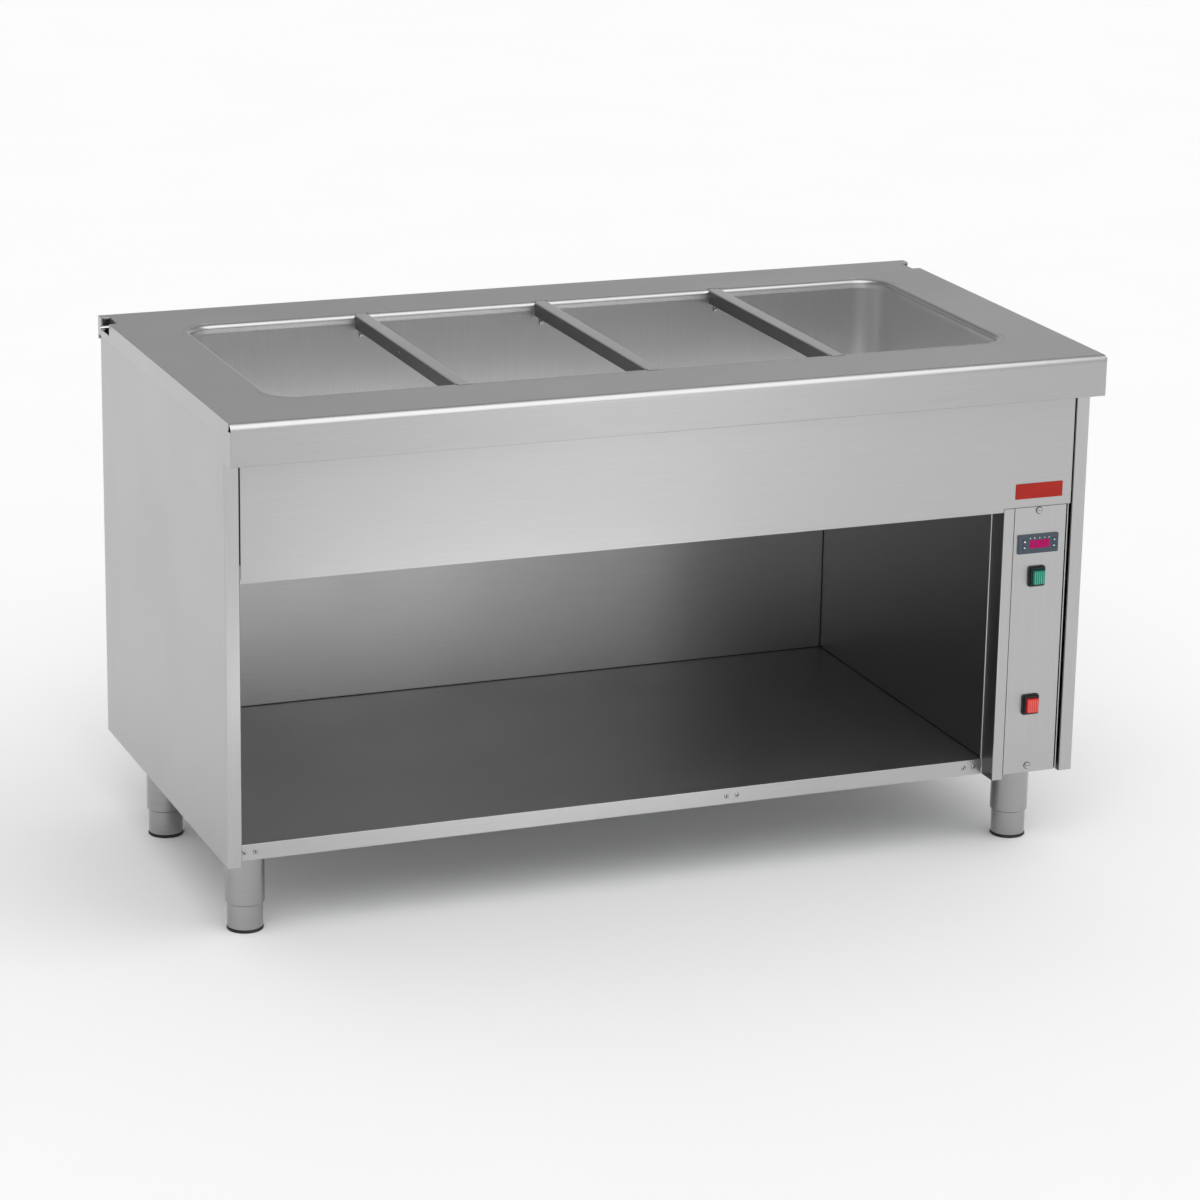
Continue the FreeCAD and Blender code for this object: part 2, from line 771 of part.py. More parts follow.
def drain_pipe():
    """Pipe from the well to the valve under the technical column."""
    body = subpart("drain_pipe")
    fall = (downpipe_x, drain[1])
    valve_top = s.valve_centre + s.valve_body_height / 2
    run = (drain[0], downpipe_x)
    rod(body, "collar", "z", s.drain_body_radius, (pipe_z, ceiling_under), drain)
    feature(body, "AdditiveSphere", "elbow", {"Radius": s.elbow_radius}, (*drain, pipe_z))
    rod(body, "run", "x", s.pipe_radius, run, (drain[1], pipe_z))
    feature(body, "AdditiveSphere", "bend", {"Radius": s.elbow_radius}, (*fall, pipe_z))
    rod(body, "fall", "z", s.pipe_radius, (valve_top, pipe_z), fall)
    bore(body, "mouth_bore", "z", s.pipe_bore_radius, (pipe_z, ceiling_under + s.overrun), drain)
    bore(body, "run_bore", "x", s.pipe_bore_radius, run, (drain[1], pipe_z))
    bore(body, "fall_bore", "z", s.pipe_bore_radius, (valve_top - s.overrun, pipe_z), fall)


def drain_valve_body():
    """Quarter-turn valve with its outlet spigot and spindle."""
    body = subpart("drain_valve_body")
    spot = (downpipe_x, drain[1])
    span = about(s.valve_centre, s.valve_body_height)
    rod(body, "barrel", "z", s.valve_collar_radius, span, spot)
    feature(body, "AdditiveSphere", "ball_housing", {"Radius": s.valve_body_radius},
            (*spot, s.valve_centre))
    rod(body, "outlet", "z", s.pipe_radius, (span[0] - s.outlet_length, span[0]), spot)
    bore(body, "outlet_bore", "z", s.pipe_bore_radius,
         (span[0] - s.outlet_length - s.overrun, span[0]), spot)
    neck = drain[1] - s.valve_body_radius
    across = (downpipe_x, s.valve_centre)
    rod(body, "boss", "y", s.valve_boss_radius, (neck - s.lift_clearance, drain[1]), across)
    rod(body, "spindle", "y", s.valve_stem_radius, (neck - s.valve_stem_reach, drain[1]), across)


def drain_valve_lever():
    """Lever on the valve's spindle, shown closed."""
    body = subpart("drain_valve_lever")
    near_y = drain[1] - s.valve_body_radius - s.lift_clearance * 2
    across = (downpipe_x, s.valve_centre)
    tip = downpipe_x - s.lever_length
    span = (near_y - s.lever_gauge * 2, near_y)
    rod(body, "hub", "y", s.lever_hub_radius, span, across)
    arm = block(body, "arm", (tip, downpipe_x),
                (near_y - s.lever_gauge * 2, near_y - s.lever_gauge),
                about(s.valve_centre, s.lever_width))
    rounded(arm, "tip", s.lever_width / 3,
            lambda box: along(box, "y") and near(box.XMin, tip))
    bore(body, "spindle_hole", "y", s.valve_stem_radius + s.stem_clearance,
         grown(span, s.overrun), across)


def side_panel(name, side):
    """End panel: a tray of folded sheet that opens inwards."""
    body = subpart(f"side_panel_{name}")
    run = (body_front, body_back)
    rise = (panel_base, deck_under)
    block(body, "tray", mirrored(side, flange_edge, panel_face), run, rise)
    pocket(body, "hollow",
           mirrored(side, flange_edge - s.overrun, panel_face - s.panel_gauge),
           (run[0] + s.panel_gauge, run[1] - s.panel_gauge),
           (rise[0] + s.panel_gauge, rise[1] - s.panel_gauge))
    link_room(body, side)


def side_liner(name, side):
    """Inner skin that closes the end panel."""
    body = subpart(f"side_liner_{name}")
    block(body, "sheet", mirrored(side, liner_face, flange_edge),
          (body_front + s.panel_gauge, body_back), (panel_base, deck_under))
    link_room(body, side)


def link_room(body, side):
    """Cut the room that the joining notch and its bracket need at the rear corner."""
    bracket_low = top - s.bracket_drop - s.lift_clearance
    pocket(body, "link_room",
           mirrored(side, liner_face - s.overrun, east_edge + s.overrun),
           grown(notch_y, s.lift_clearance), (bracket_low, top + s.overrun))


def link_brackets():
    """Angles under the deck at both notches, each with a hole for the joining bolt."""
    body = subpart("link_brackets")
    for side in (-1, 1):
        wall = mirrored(side, notch_x[0] - s.bracket_gauge, notch_x[0])
        block(body, "wall", wall, notch_y, (top - s.bracket_drop, deck_under))
        block(body, "tab",
              mirrored(side, liner_face + s.bracket_tab_gap, notch_x[0] - s.bracket_gauge),
              notch_y, (deck_under - s.bracket_gauge, deck_under))
        bore(body, "hole", "x", s.link_hole_radius, grown(wall, s.overrun), (link_y, link_z))


def link_bolt():
    """Joining bolt that stands out of the left notch."""
    body = subpart("link_bolt")
    head_face = -(notch_x[0] - s.bracket_gauge)
    rod(body, "shank", "x", s.link_bolt_radius, (-(east_edge + s.link_bolt_reach), -notch_x[0]),
        (link_y, link_z))
    rod(body, "shoulder", "x", s.link_bolt_shoulder_radius, (-notch_x[0], head_face),
        (link_y, link_z))
    hexagon(body, "head", "x", s.link_bolt_head_radius,
            (head_face, head_face + s.link_bolt_head_height), (link_y, link_z))


def back_panel():
    """Rear wall: a tray that opens to the back, with the hole for the cable gland."""
    body = subpart("back_panel")
    run = (-liner_face, liner_face)
    rise = (panel_base, deck_under)
    block(body, "tray", run, (back_face, body_back), rise)
    pocket(body, "hollow", (run[0] + s.panel_gauge, run[1] - s.panel_gauge),
           (back_face + s.panel_gauge, body_back + s.overrun),
           (rise[0] + s.panel_gauge, rise[1] - s.panel_gauge))
    bore(body, "gland_hole", "y", s.gland_hole_radius,
         grown((back_face, back_face + s.panel_gauge), s.overrun),
         (downpipe_x, s.shelf_height + s.gland_rise))


def front_fascia():
    """Flat panel under the apron, with folds at its ends and top."""
    body = subpart("front_fascia")
    depth = (body_front, body_front + s.fascia_fold)
    block(body, "sheet", fascia_x, (body_front, body_front + s.panel_gauge),
          (fascia_base, deck_under))
    block(body, "top_fold", fascia_x, depth, (deck_under - s.panel_gauge, deck_under))
    ends = ((fascia_x[0], fascia_x[0] + s.panel_gauge), (fascia_x[1] - s.panel_gauge, fascia_x[1]))
    for end in ends:
        block(body, "end_fold", end, depth, (ceiling_top + s.lift_clearance, deck_under))


def name_plate():
    """Plain coloured plate on the fascia, without any lettering."""
    body = subpart("name_plate")
    far = fascia_x[1] - s.plate_inset
    plate = block(body, "plate", (far - s.plate_width, far),
                  (body_front - s.plate_gauge, body_front),
                  about(fascia_base + s.plate_rise, s.plate_height))
    rounded(plate, "corners", s.plate_corner, lambda box: along(box, "y"))


def fascia_rail():
    """Channel behind the lower edge of the fascia."""
    body = subpart("fascia_rail")
    run = (-liner_face, column_face)
    start = body_front + s.panel_gauge
    rise = (rail_base, ceiling_under)
    block(body, "channel", run, (start, start + s.rail_depth), rise)
    pocket(body, "hollow", grown(run, s.overrun),
           (start + s.panel_gauge, start + s.rail_depth + s.overrun),
           (rise[0] + s.panel_gauge, rise[1] - s.panel_gauge))


def cabinet_ceiling():
    """Sheet that closes the well compartment from below."""
    body = subpart("cabinet_ceiling")
    block(body, "sheet", (-liner_face, liner_face), (body_front + s.panel_gauge, back_face),
          (ceiling_under, ceiling_top))
    bore(body, "drain_hole", "z", s.drain_nut_radius + s.drain_clearance,
         grown((ceiling_under, ceiling_top), s.overrun), drain)


def shelf_panel():
    """Bottom shelf with a front strip and a rear fold."""
    body = subpart("shelf_panel")
    run = (-liner_face, column_face)
    base = s.shelf_height - s.shelf_skirt
    strip = (shelf_front, shelf_front + s.panel_gauge)
    block(body, "sheet", run, (shelf_front, back_face), (shelf_under, s.shelf_height))
    block(body, "strip", run, strip, (base, s.shelf_height))
    block(body, "strip_return", run, (shelf_front, shelf_front + s.shelf_return),
          (base, base + s.panel_gauge))
    block(body, "rear_fold", run, (back_face - s.panel_gauge, back_face),
          (base, s.shelf_height))
    for x in rivet_places():
        bore(body, "rivet_hole", "y", s.rivet_hole_radius, grown(strip, s.panel_gauge),
             (x, s.shelf_height - s.rivet_drop))


def rivet_places():
    """Places along the shelf strip of its three pairs of rivets."""
    west = -(liner_face - s.rivet_end_inset)
    east = column_face - s.rivet_end_inset
    return [centre + s.rivet_pitch / 2 * side
            for centre in (west, s.rivet_middle_east, east) for side in (-1, 1)]


def shelf_rivets():
    """Blind rivets along the shelf's front strip."""
    body = subpart("shelf_rivets")
    z = s.shelf_height - s.rivet_drop
    face = shelf_front
    for x in rivet_places():
        rod(body, "shank", "y", s.rivet_shank_radius, (face, face + s.panel_gauge * 3), (x, z))
        rod(body, "head", "y", s.rivet_radius, (face - s.rivet_gauge, face), (x, z))
        bore(body, "eye", "y", s.rivet_eye_radius, (face - s.rivet_gauge * 2, face), (x, z))


def base_rails():
    """Front and rear channels under the shelf that carry the legs."""
    body = subpart("base_rails")
    for side in (-1, 1):
        y = (back_edge - s.leg_setback) * side
        half = leg_bolt_reach + s.base_rail_gauge + s.base_rail_room
        width = about(y, half * 2)
        block(body, "channel", (-liner_face, liner_face), width,
              (base_rail_base, shelf_under))
        pocket(body, "hollow", grown((-liner_face, liner_face), s.overrun),
               (width[0] + s.base_rail_gauge, width[1] - s.base_rail_gauge),
               (base_rail_base + s.base_rail_gauge, shelf_under + s.overrun))
    for x, y in leg_bolt_places():
        bore(body, "bolt_hole", "z", s.leg_hole_radius,
             grown((base_rail_base, base_rail_base + s.base_rail_gauge),
                   s.base_rail_gauge), (x, y))


def partition_wall():
    """Right wall of the open cabinet, with a slot for the drain pipe."""
    body = subpart("partition_wall")
    wall = (column_face, column_inner)
    block(body, "sheet", wall, (shelf_front + s.panel_gauge, back_face),
          (shelf_under, ceiling_under))
    slot = s.drain_body_radius + s.pipe_slot_clearance
    bore(body, "slot_end", "x", slot, grown(wall, s.overrun), (drain[1], pipe_z))
    pocket(body, "slot", grown(wall, s.overrun), about(drain[1], slot * 2),
           (pipe_z, ceiling_under + s.overrun))


def control_column():
    """Folded post at the left of the controls."""
    body = subpart("control_column")
    low = base_rail_base
    flange = (column_face, column_face + s.column_flange)
    block(body, "flank", (column_face, column_inner), (body_front, shelf_front),
          (low, cover_top))
    block(body, "flange", flange, (body_front, body_front + s.panel_gauge), (low, cover_top))
    block(body, "back_fold", (column_face, column_face + s.column_fold),
          (shelf_front - s.panel_gauge, shelf_front), (low, cover_top))
    block(body, "neck", (column_face, column_inner),
          (body_front + s.panel_gauge * 2 + s.rail_depth, shelf_front),
          (cover_top, ceiling_under))


def column_floor():
    """Floor of the technical column, with the hole for the downpipe."""
    body = subpart("column_floor")
    block(body, "sheet", (column_inner, liner_face), (shelf_front, back_face),
          (shelf_under, s.shelf_height))
    bore(body, "pipe_hole", "z", s.elbow_radius,
         grown((shelf_under, s.shelf_height), s.overrun), (downpipe_x, drain[1]))


def cover_frame():
    """Right-hand jamb and the two cross strips that hold the cover's screws."""
    body = subpart("cover_frame")
    jamb_x = cover_x[1] + s.jamb_gap
    front = body_front + s.panel_gauge
    strip_y = front + s.cover_fold + s.lift_clearance
    strip = (strip_y, strip_y + s.panel_gauge)
    block(body, "jamb", (jamb_x, jamb_x + s.jamb_gauge), (front, shelf_front),
          (cover_base, ceiling_under))
    block(body, "jamb_foot", (jamb_x, liner_face), (shelf_front - s.panel_gauge, shelf_front),
          (cover_base, ceiling_under))
    for z in screw_levels():
        block(body, "cross_strip", (column_inner, jamb_x), strip, about(z, s.strip_height))
        bore(body, "screw_hole", "y", s.screw_hole_radius, grown(strip, s.overrun),
             (controls_x, z))


def screw_levels():
    """Heights of the two screws of the cover."""
    return cover_base + s.screw_inset, cover_top - s.screw_inset / 2


def control_cover():
    """Removable cover of the controls, with their cut-outs."""
    body = subpart("control_cover")
    rise = (cover_base, cover_top)
    depth = (body_front, body_front + s.panel_gauge + s.cover_fold)
    block(body, "sheet", cover_x, (body_front, body_front + s.panel_gauge), rise)
    edges_x = ((cover_x[0], cover_x[0] + s.panel_gauge), (cover_x[1] - s.panel_gauge, cover_x[1]))
    for edge in edges_x:
        block(body, "fold", edge, depth, rise)
    cut = grown((body_front, body_front + s.panel_gauge), s.panel_gauge)
    pocket(body, "display_cutout",
           grown(display_box()[0], s.cutout_clearance), cut,
           grown(display_box()[1], s.cutout_clearance))
    for z in (green_z, red_z):
        pocket(body, "switch_cutout",
               grown(switch_box(z)[0], s.cutout_clearance), cut,
               grown(switch_box(z)[1], s.cutout_clearance))
    for z in screw_levels():
        bore(body, "screw_hole", "y", s.screw_hole_radius, cut, (controls_x, z))


def cover_screws():
    """Two slotted screws with washers that hold the cover."""
    body = subpart("cover_screws")
    washer = body_front - s.screw_washer_gauge
    head = washer - s.screw_head_height
    for z in screw_levels():
        across = (controls_x, z)
        rod(body, "washer", "y", s.screw_washer_radius, (washer, body_front), across)
        rod(body, "head", "y", s.screw_head_radius, (head, washer), across)
        rod(body, "shank", "y", s.screw_shank_radius, (body_front, body_front + s.screw_length),
            across)
        pocket(body, "slot", about(controls_x, s.screw_head_radius * 3),
               (head - s.overrun, head + s.screw_slot_depth), about(z, s.screw_slot_width))


def key_places():
    """Centres of the four keys of the thermostat."""
    offset = s.display_width / 2 - s.key_inset
    return [(controls_x + s.window_lead + offset * side, display_z + s.key_pitch / 2 * rise)
            for side in (-1, 1) for rise in (1, -1)]


def window_span():
    """Width of the display window, from its left to its right edge."""
    return about(controls_x + s.window_lead, s.display_width - s.window_inset * 2)


def display_box():
    """Width and height of the thermostat's body behind the cover."""
    return (about(controls_x, s.display_width - s.display_side_border * 2),
            about(display_z, s.display_height - s.display_end_border * 2))


def controller_case():
    """Housing of the thermostat, with a recess for the window and wells for the keys."""
    body = subpart("controller_case")
    face = body_front - s.display_proud
    bezel = block(body, "bezel", about(controls_x, s.display_width), (face, body_front),
                  about(display_z, s.display_height))
    rounded(bezel, "bezel_edges", s.display_edge_radius,
            lambda box: near(box.YMin, face) and near(box.YMax, face) or along(box, "y"))
    wide, high = display_box()
    block(body, "box", wide, (body_front, body_front + s.display_body_depth), high)
    pocket(body, "window_recess", window_span(),
           (face - s.overrun, face + s.window_recess), about(display_z, s.window_height))
    well = face + s.key_gauge - s.key_proud + s.key_travel_room
    for x, z in key_places():
        pocket(body, "key_well", about(x, s.key_width + s.key_clearance * 2),
               (face - s.overrun, well), about(z, s.key_height + s.key_clearance * 2))


def display_window():
    """Tinted window of the display."""
    body = subpart("display_window")
    face = body_front - s.display_proud
    block(body, "pane", window_span(), (face, face + s.window_recess),
          about(display_z, s.window_height))


def controller_key(number, x, z):
    """One key of the thermostat."""
    body = subpart(f"controller_key_{number}")
    face = body_front - s.display_proud - s.key_proud
    cap = block(body, "cap", about(x, s.key_width), (face, face + s.key_gauge),
                about(z, s.key_height))
    rounded(cap, "edges", s.key_proud, lambda box: along(box, "y"))


def switch_well(z):
    """Width and height of the well that a rocker tips in."""
    return (about(controls_x, s.rocker_width + s.rocker_side_gap * 2),
            about(z, s.rocker_height + s.rocker_swing_gap * 2))


def switch_box(z):
    """Width and height of a switch's body behind the cover."""
    wide, high = switch_well(z)
    return grown(wide, s.switch_side_wall), grown(high, s.switch_end_wall)


def switch_housing(colour, z):
    """Housing of a rocker switch, with a shroud that stands round the rocker."""
    body = subpart(f"switch_housing_{colour}")
    well_wide, well_high = switch_well(z)
    box_wide, box_high = switch_box(z)
    flange = block(body, "flange", grown(box_wide, s.switch_side_border),
                   (body_front - s.switch_flange, body_front),
                   grown(box_high, s.switch_end_border))
    rounded(flange, "flange_corners", s.switch_corner, lambda box: along(box, "y"))
    face = body_front - s.shroud_proud
    span_x = grown(well_wide, s.shroud_side_wall)
    span_z = grown(well_high, s.shroud_end_wall)
    shroud = block(body, "shroud", span_x, (face, body_front - s.switch_flange), span_z)

    def shroud_corner(box):
        x_fits = near(box.XMin, span_x[0]) or near(box.XMin, span_x[1])
        z_fits = near(box.ZMin, span_z[0]) or near(box.ZMin, span_z[1])
        return along(box, "y") and x_fits and z_fits

    rounded(shroud, "shroud_corners", s.shroud_corner, shroud_corner)
    block(body, "box", box_wide, (body_front, body_front + s.switch_body_depth), box_high)
    back = body_front - s.rocker_pivot_proud + s.rocker_back + s.rocker_back_room
    pocket(body, "well", well_wide, (face - s.overrun, back), well_high)
    pin_room = s.rocker_side_gap + s.rocker_pin_length + s.rocker_pin_room
    bore(body, "pin_holes", "x", s.rocker_pin_radius + s.rocker_pin_clearance,
         about(controls_x, s.rocker_width + pin_room * 2), (body_front - s.rocker_pivot_proud, z))


def rocker(colour, z):
    """Lit rocker of a switch, on two pivot pins."""
    body = subpart(f"rocker_{colour}")
    x = controls_x
    pivot = body_front - s.rocker_pivot_proud
    face = body_front - s.rocker_proud
    cap = block(body, "cap", about(x, s.rocker_width), (face, pivot + s.rocker_back),
                about(z, s.rocker_height))
    rounded(cap, "face_edges", s.rocker_edge_radius,
            lambda box: near(box.YMin, face) and near(box.YMax, face))
    reach = s.rocker_side_gap + s.rocker_pin_length
    rod(body, "pins", "x", s.rocker_pin_radius, about(x, s.rocker_width + reach * 2), (pivot, z))


def contactor():
    """Contactor on its mounting rail in the column."""
    body = subpart("contactor")
    front = shelf_front + s.contactor_setback
    rail = shelf_front + s.din_setback
    face = column_inner + s.din_depth
    block(body, "rail", (column_inner, face), (rail, rail + s.din_length),
          about(gear_z, s.din_width))
    run = (front, front + s.contactor_width)
    deep = face + s.contactor_depth
    block(body, "base", (face, deep - s.contactor_step), run,
          about(gear_z, s.contactor_height))
    block(body, "head", (deep - s.contactor_step, deep), run,
          about(gear_z, s.contactor_height - s.contactor_step * 2))


def terminal_block():
    """Row of terminals for the supply and the heaters."""
    body = subpart("terminal_block")
    face = column_inner + s.din_depth
    front = shelf_front + s.terminal_setback
    run = (front, front + s.terminal_width)
    block(body, "row", (face, face + s.terminal_depth), run,
          about(gear_z, s.terminal_height))
    for number in range(int(SIZES["terminal_width"] / SIZES["terminal_pitch"]) - 1):
        y = run[0] + s.terminal_pitch * (number + 1)
        pocket(body, "slot", (face + s.terminal_depth - s.terminal_slot,
                              face + s.terminal_depth + s.overrun),
               about(y, s.panel_gauge), grown(about(gear_z, s.terminal_height), s.overrun))


def safety_thermostat():
    """Over-temperature cut-out on the partition, with the bush of its capillary."""
    body = subpart("safety_thermostat")
    front = shelf_front + s.safety_setback
    z = ceiling_under - s.safety_drop
    run = (front, front + s.safety_size)
    face = column_inner + s.safety_depth
    block(body, "case", (column_inner, face), run, about(z, s.safety_size))
    rod(body, "bush", "x", s.safety_bush_radius, (face, face + s.safety_bush_length),
        ((run[0] + run[1]) / 2, z))


def cable_gland():
    """Gland for the supply lead in the back panel."""
    body = subpart("cable_gland")
    across = (downpipe_x, s.shelf_height + s.gland_rise)
    outside = back_face + s.panel_gauge
    hexagon(body, "nut", "y", s.gland_radius, (outside, outside + s.gland_nut_height), across)
    dome_end = outside + s.gland_nut_height + s.gland_dome_height
    dome = rod(body, "dome", "y", s.gland_thread_radius, (outside + s.gland_nut_height, dome_end),
               across)
    rounded(dome, "dome_edge", s.gland_thread_radius / 3,
            lambda box: near(box.YMin, dome_end) and near(box.YMax, dome_end))
    rod(body, "thread", "y", s.gland_thread_radius, (back_face - s.gland_tail, outside), across)
    hexagon(body, "lock_nut", "y", s.gland_radius, (back_face - s.gland_nut_height, back_face),
            across)
    bore(body, "cable_way", "y", s.gland_bore_radius,
         (back_face - s.gland_tail - s.overrun, dome_end + s.overrun), across)


def leg_places():
    """Name and centre of each leg."""
    x = liner_face - leg_bolt_reach - s.leg_end_room
    y = back_edge - s.leg_setback
    return {"front_left": (-x, -y), "front_right": (x, -y), "rear_left": (-x, y),
            "rear_right": (x, y)}


def leg_bolt_places():
    """Centres of the bolts that hold the leg plates."""
    return [(x + leg_bolt_offset * east, y + leg_bolt_offset * back)
            for x, y in leg_places().values() for east in (-1, 1) for back in (-1, 1)]


def leg_sleeves():
    """Four tubular legs, each welded to a square plate."""
    body = subpart("leg_sleeves")
    plate = (base_rail_base - s.leg_plate_gauge, base_rail_base)
    for x, y in leg_places().values():
        tube = rod(body, "tube", "z", s.sleeve_radius, (s.sleeve_base, plate[0]), (x, y))
        rounded(tube, "mouth", s.sleeve_chamfer,
                lambda box, x=x, y=y: level(box, s.sleeve_base)
                and within(box, about(x, s.sleeve_radius * 2), about(y, s.sleeve_radius * 2)),
                "Chamfer")
        bore(body, "bore", "z", bore_radius, (s.sleeve_base - s.overrun, plate[0]),
             (x, y))
        width = (leg_bolt_reach + s.leg_plate_room) * 2
        block(body, "plate", about(x, width), about(y, width), plate)
    for x, y in leg_bolt_places():
        bore(body, "bolt_hole", "z", s.leg_hole_radius, grown(plate, s.leg_plate_gauge), (x, y))


def leg_bolts():
    """Hexagon bolts through the leg plates into the base rails."""
    body = subpart("leg_bolts")
    plate_base = base_rail_base - s.leg_plate_gauge
    for x, y in leg_bolt_places():
        hexagon(body, "head", "z", s.leg_bolt_head_radius,
                (plate_base - s.leg_bolt_head_height, plate_base), (x, y))
        rod(body, "shank", "z", s.leg_bolt_radius, (plate_base, plate_base + s.leg_bolt_length),
            (x, y))
        nut_base = base_rail_base + s.base_rail_gauge
        hexagon(body, "nut", "z", s.leg_bolt_head_radius,
                (nut_base, nut_base + s.leg_bolt_head_height), (x, y))


def leg_foot(name, x, y):
    """Levelling foot, a tube with a thick base that screws into a leg."""
    body = subpart(f"leg_foot_{name}")
    foot_top = s.sleeve_base + s.foot_engagement
    stem = rod(body, "stem", "z", foot_radius, (s.pad_height, foot_top), (x, y))
    rounded(stem, "chamfers", s.foot_chamfer, lambda box: level(box, foot_top), "Chamfer")
    bore(body, "hollow", "z", foot_radius - s.foot_wall,
         (s.pad_height + s.foot_base, foot_top + s.overrun), (x, y))


def foot_pad(name, x, y):
    """Plastic pad under a foot."""
    body = subpart(f"foot_pad_{name}")
    pad_disc = rod(body, "disc", "z", foot_radius + s.pad_border, (NONE, s.pad_height), (x, y))
    rounded(pad_disc, "edge", s.pad_edge_radius, lambda box: level(box, s.pad_height))


def build():
    """Make every sub-part."""
    counter_deck()
    deck_rim()
    deck_edges()
    deck_stiffeners()
    well_tank()
    for name, x in bars.items():
        pan_bar(name, x)
    well_insulation()
    well_heaters()
    tank_probe()
    drain_fitting()
    drain_strainer()
    drain_pipe()
    drain_valve_body()
    drain_valve_lever()
    for name, side in (("left", -1), ("right", 1)):
        side_panel(name, side)
        side_liner(name, side)
    link_brackets()
    link_bolt()
    back_panel()
    front_fascia()
    name_plate()
    fascia_rail()
    cabinet_ceiling()
    shelf_panel()
    shelf_rivets()
    base_rails()
    partition_wall()
    control_column()
    column_floor()
    cover_frame()
    control_cover()
    cover_screws()
    controller_case()
    display_window()
    for number, (x, z) in enumerate(key_places(), start=1):
        controller_key(number, x, z)
    for colour, z in (("green", green_z), ("red", red_z)):
        switch_housing(colour, z)
        rocker(colour, z)
    contactor()
    terminal_block()
    safety_thermostat()
    cable_gland()
    leg_sleeves()
    leg_bolts()
    for name, (x, y) in leg_places().items():
        leg_foot(name, x, y)
        foot_pad(name, x, y)


def write_subparts():
    """Check every object and write each sub-part to its own file."""
    doc.recompute()
    for item in doc.Objects:
        if "Invalid" in item.State or "Error" in item.State:
            raise RuntimeError(f"{item.Label} did not compute: {item.State}")
    for body in subparts:
        if body.Shape.isNull() or not body.Shape.isValid() or not body.Shape.Solids:
            raise RuntimeError(f"{body.Label} has no valid shape")
    os.makedirs("parts", exist_ok=True)
    for body in subparts:
        body.Shape.exportStep(os.path.join("parts", body.Label + ".step"))


build()
write_subparts()
print(len(subparts), "sub-parts written")
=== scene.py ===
import json
import math

import bmesh
import bpy
from mathutils import Matrix, Vector


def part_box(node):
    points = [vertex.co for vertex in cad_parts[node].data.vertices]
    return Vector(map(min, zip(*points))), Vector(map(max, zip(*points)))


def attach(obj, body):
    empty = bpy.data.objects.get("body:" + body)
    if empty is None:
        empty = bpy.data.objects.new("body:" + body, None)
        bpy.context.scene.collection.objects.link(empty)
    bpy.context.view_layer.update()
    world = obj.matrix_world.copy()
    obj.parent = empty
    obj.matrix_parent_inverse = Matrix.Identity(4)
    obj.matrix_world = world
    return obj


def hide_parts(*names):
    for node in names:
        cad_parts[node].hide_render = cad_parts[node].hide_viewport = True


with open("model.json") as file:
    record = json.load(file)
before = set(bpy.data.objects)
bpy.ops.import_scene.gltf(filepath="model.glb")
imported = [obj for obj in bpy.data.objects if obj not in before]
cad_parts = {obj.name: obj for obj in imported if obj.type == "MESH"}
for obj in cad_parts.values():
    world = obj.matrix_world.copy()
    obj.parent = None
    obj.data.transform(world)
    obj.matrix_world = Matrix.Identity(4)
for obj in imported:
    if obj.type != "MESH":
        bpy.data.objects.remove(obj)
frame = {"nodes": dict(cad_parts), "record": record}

bl_info = {
    "name": "Bain-marie counter",
    "version": (1, 0, 0),
    "blender": (4, 5, 0),
    "location": "View3D > Sidebar > Counter",
    "description": "Dresses the packed bain-marie counter and sets the stage round it",
    "category": "Object",
}

MM = 0.001

# A noise texture's values lie mostly between these
NOISE_SPAN = (0.3, 0.7)
# Corners nearer than this, in metres, are one corner
SAME_PLACE = 2e-6
# Faces that turn by less than the first angle are one flat, and past the second there is a fold
FLAT_TURN = math.radians(0.4)
FOLD_TURN = math.radians(38)
# A rounded edge takes at most this share of the flat beside it
EDGE_SHARE = 0.4
# What the surroundings light the object with, where the backdrop that shows is 1
EVEN_LIGHT = 0.70


# Small helpers


def linear(text):
    """Linear RGBA of an sRGB hex colour such as "#BEBEBC"."""
    parts = [int(text[i:i + 2], 16) / 255 for i in (1, 3, 5)]
    return [c / 12.92 if c <= 0.04045 else ((c + 0.055) / 1.055) ** 2.4 for c in parts] + [1.0]


def add_node(tree, kind, inputs=None, **settings):
    """Add a node with its settings, and fill or link its inputs by name or number."""
    node = tree.nodes.new(kind)
    for key, value in settings.items():
        setattr(node, key, value)
    for key, value in (inputs or {}).items():
        if isinstance(value, bpy.types.NodeSocket):
            tree.links.new(value, node.inputs[key])
        else:
            node.inputs[key].default_value = value
    return node


def empty_material(title):
    """A new material, its empty node tree, and the object's own coordinates in that tree."""
    material = bpy.data.materials.new(title)
    material.use_nodes = True
    tree = material.node_tree
    tree.nodes.clear()
    return material, tree, add_node(tree, "ShaderNodeTexCoord").outputs["Object"]


def finish_material(material, shader, colour):
    """Join the shader to the output, and keep its colour for plain views."""
    add_node(material.node_tree, "ShaderNodeOutputMaterial", {"Surface": shader.outputs[0]})
    material.diffuse_color = colour
    return material


def shaded(material, colour, tone_of, tones, rough_of, roughs, inputs, span=NOISE_SPAN):
    """Finish a material whose colour and roughness each follow a pattern.

    The patterns run over span, and tones and roughs are what its two ends give.
    """
    tree = material.node_tree
    tone, rough = (
        add_node(tree, "ShaderNodeMapRange",
                 {"Value": pattern, 1: span[0], 2: span[1], 3: low, 4: high}).outputs[0]
        for pattern, (low, high) in ((tone_of, tones), (rough_of, roughs)))
    tint = add_node(tree, "ShaderNodeHueSaturation", {"Color": colour, "Value": tone})
    shader = add_node(tree, "ShaderNodeBsdfPrincipled",
                      {"Base Color": tint.outputs[0], "Roughness": rough, **inputs})
    return finish_material(material, shader, colour)


# Finishes, each made once and then found by its name


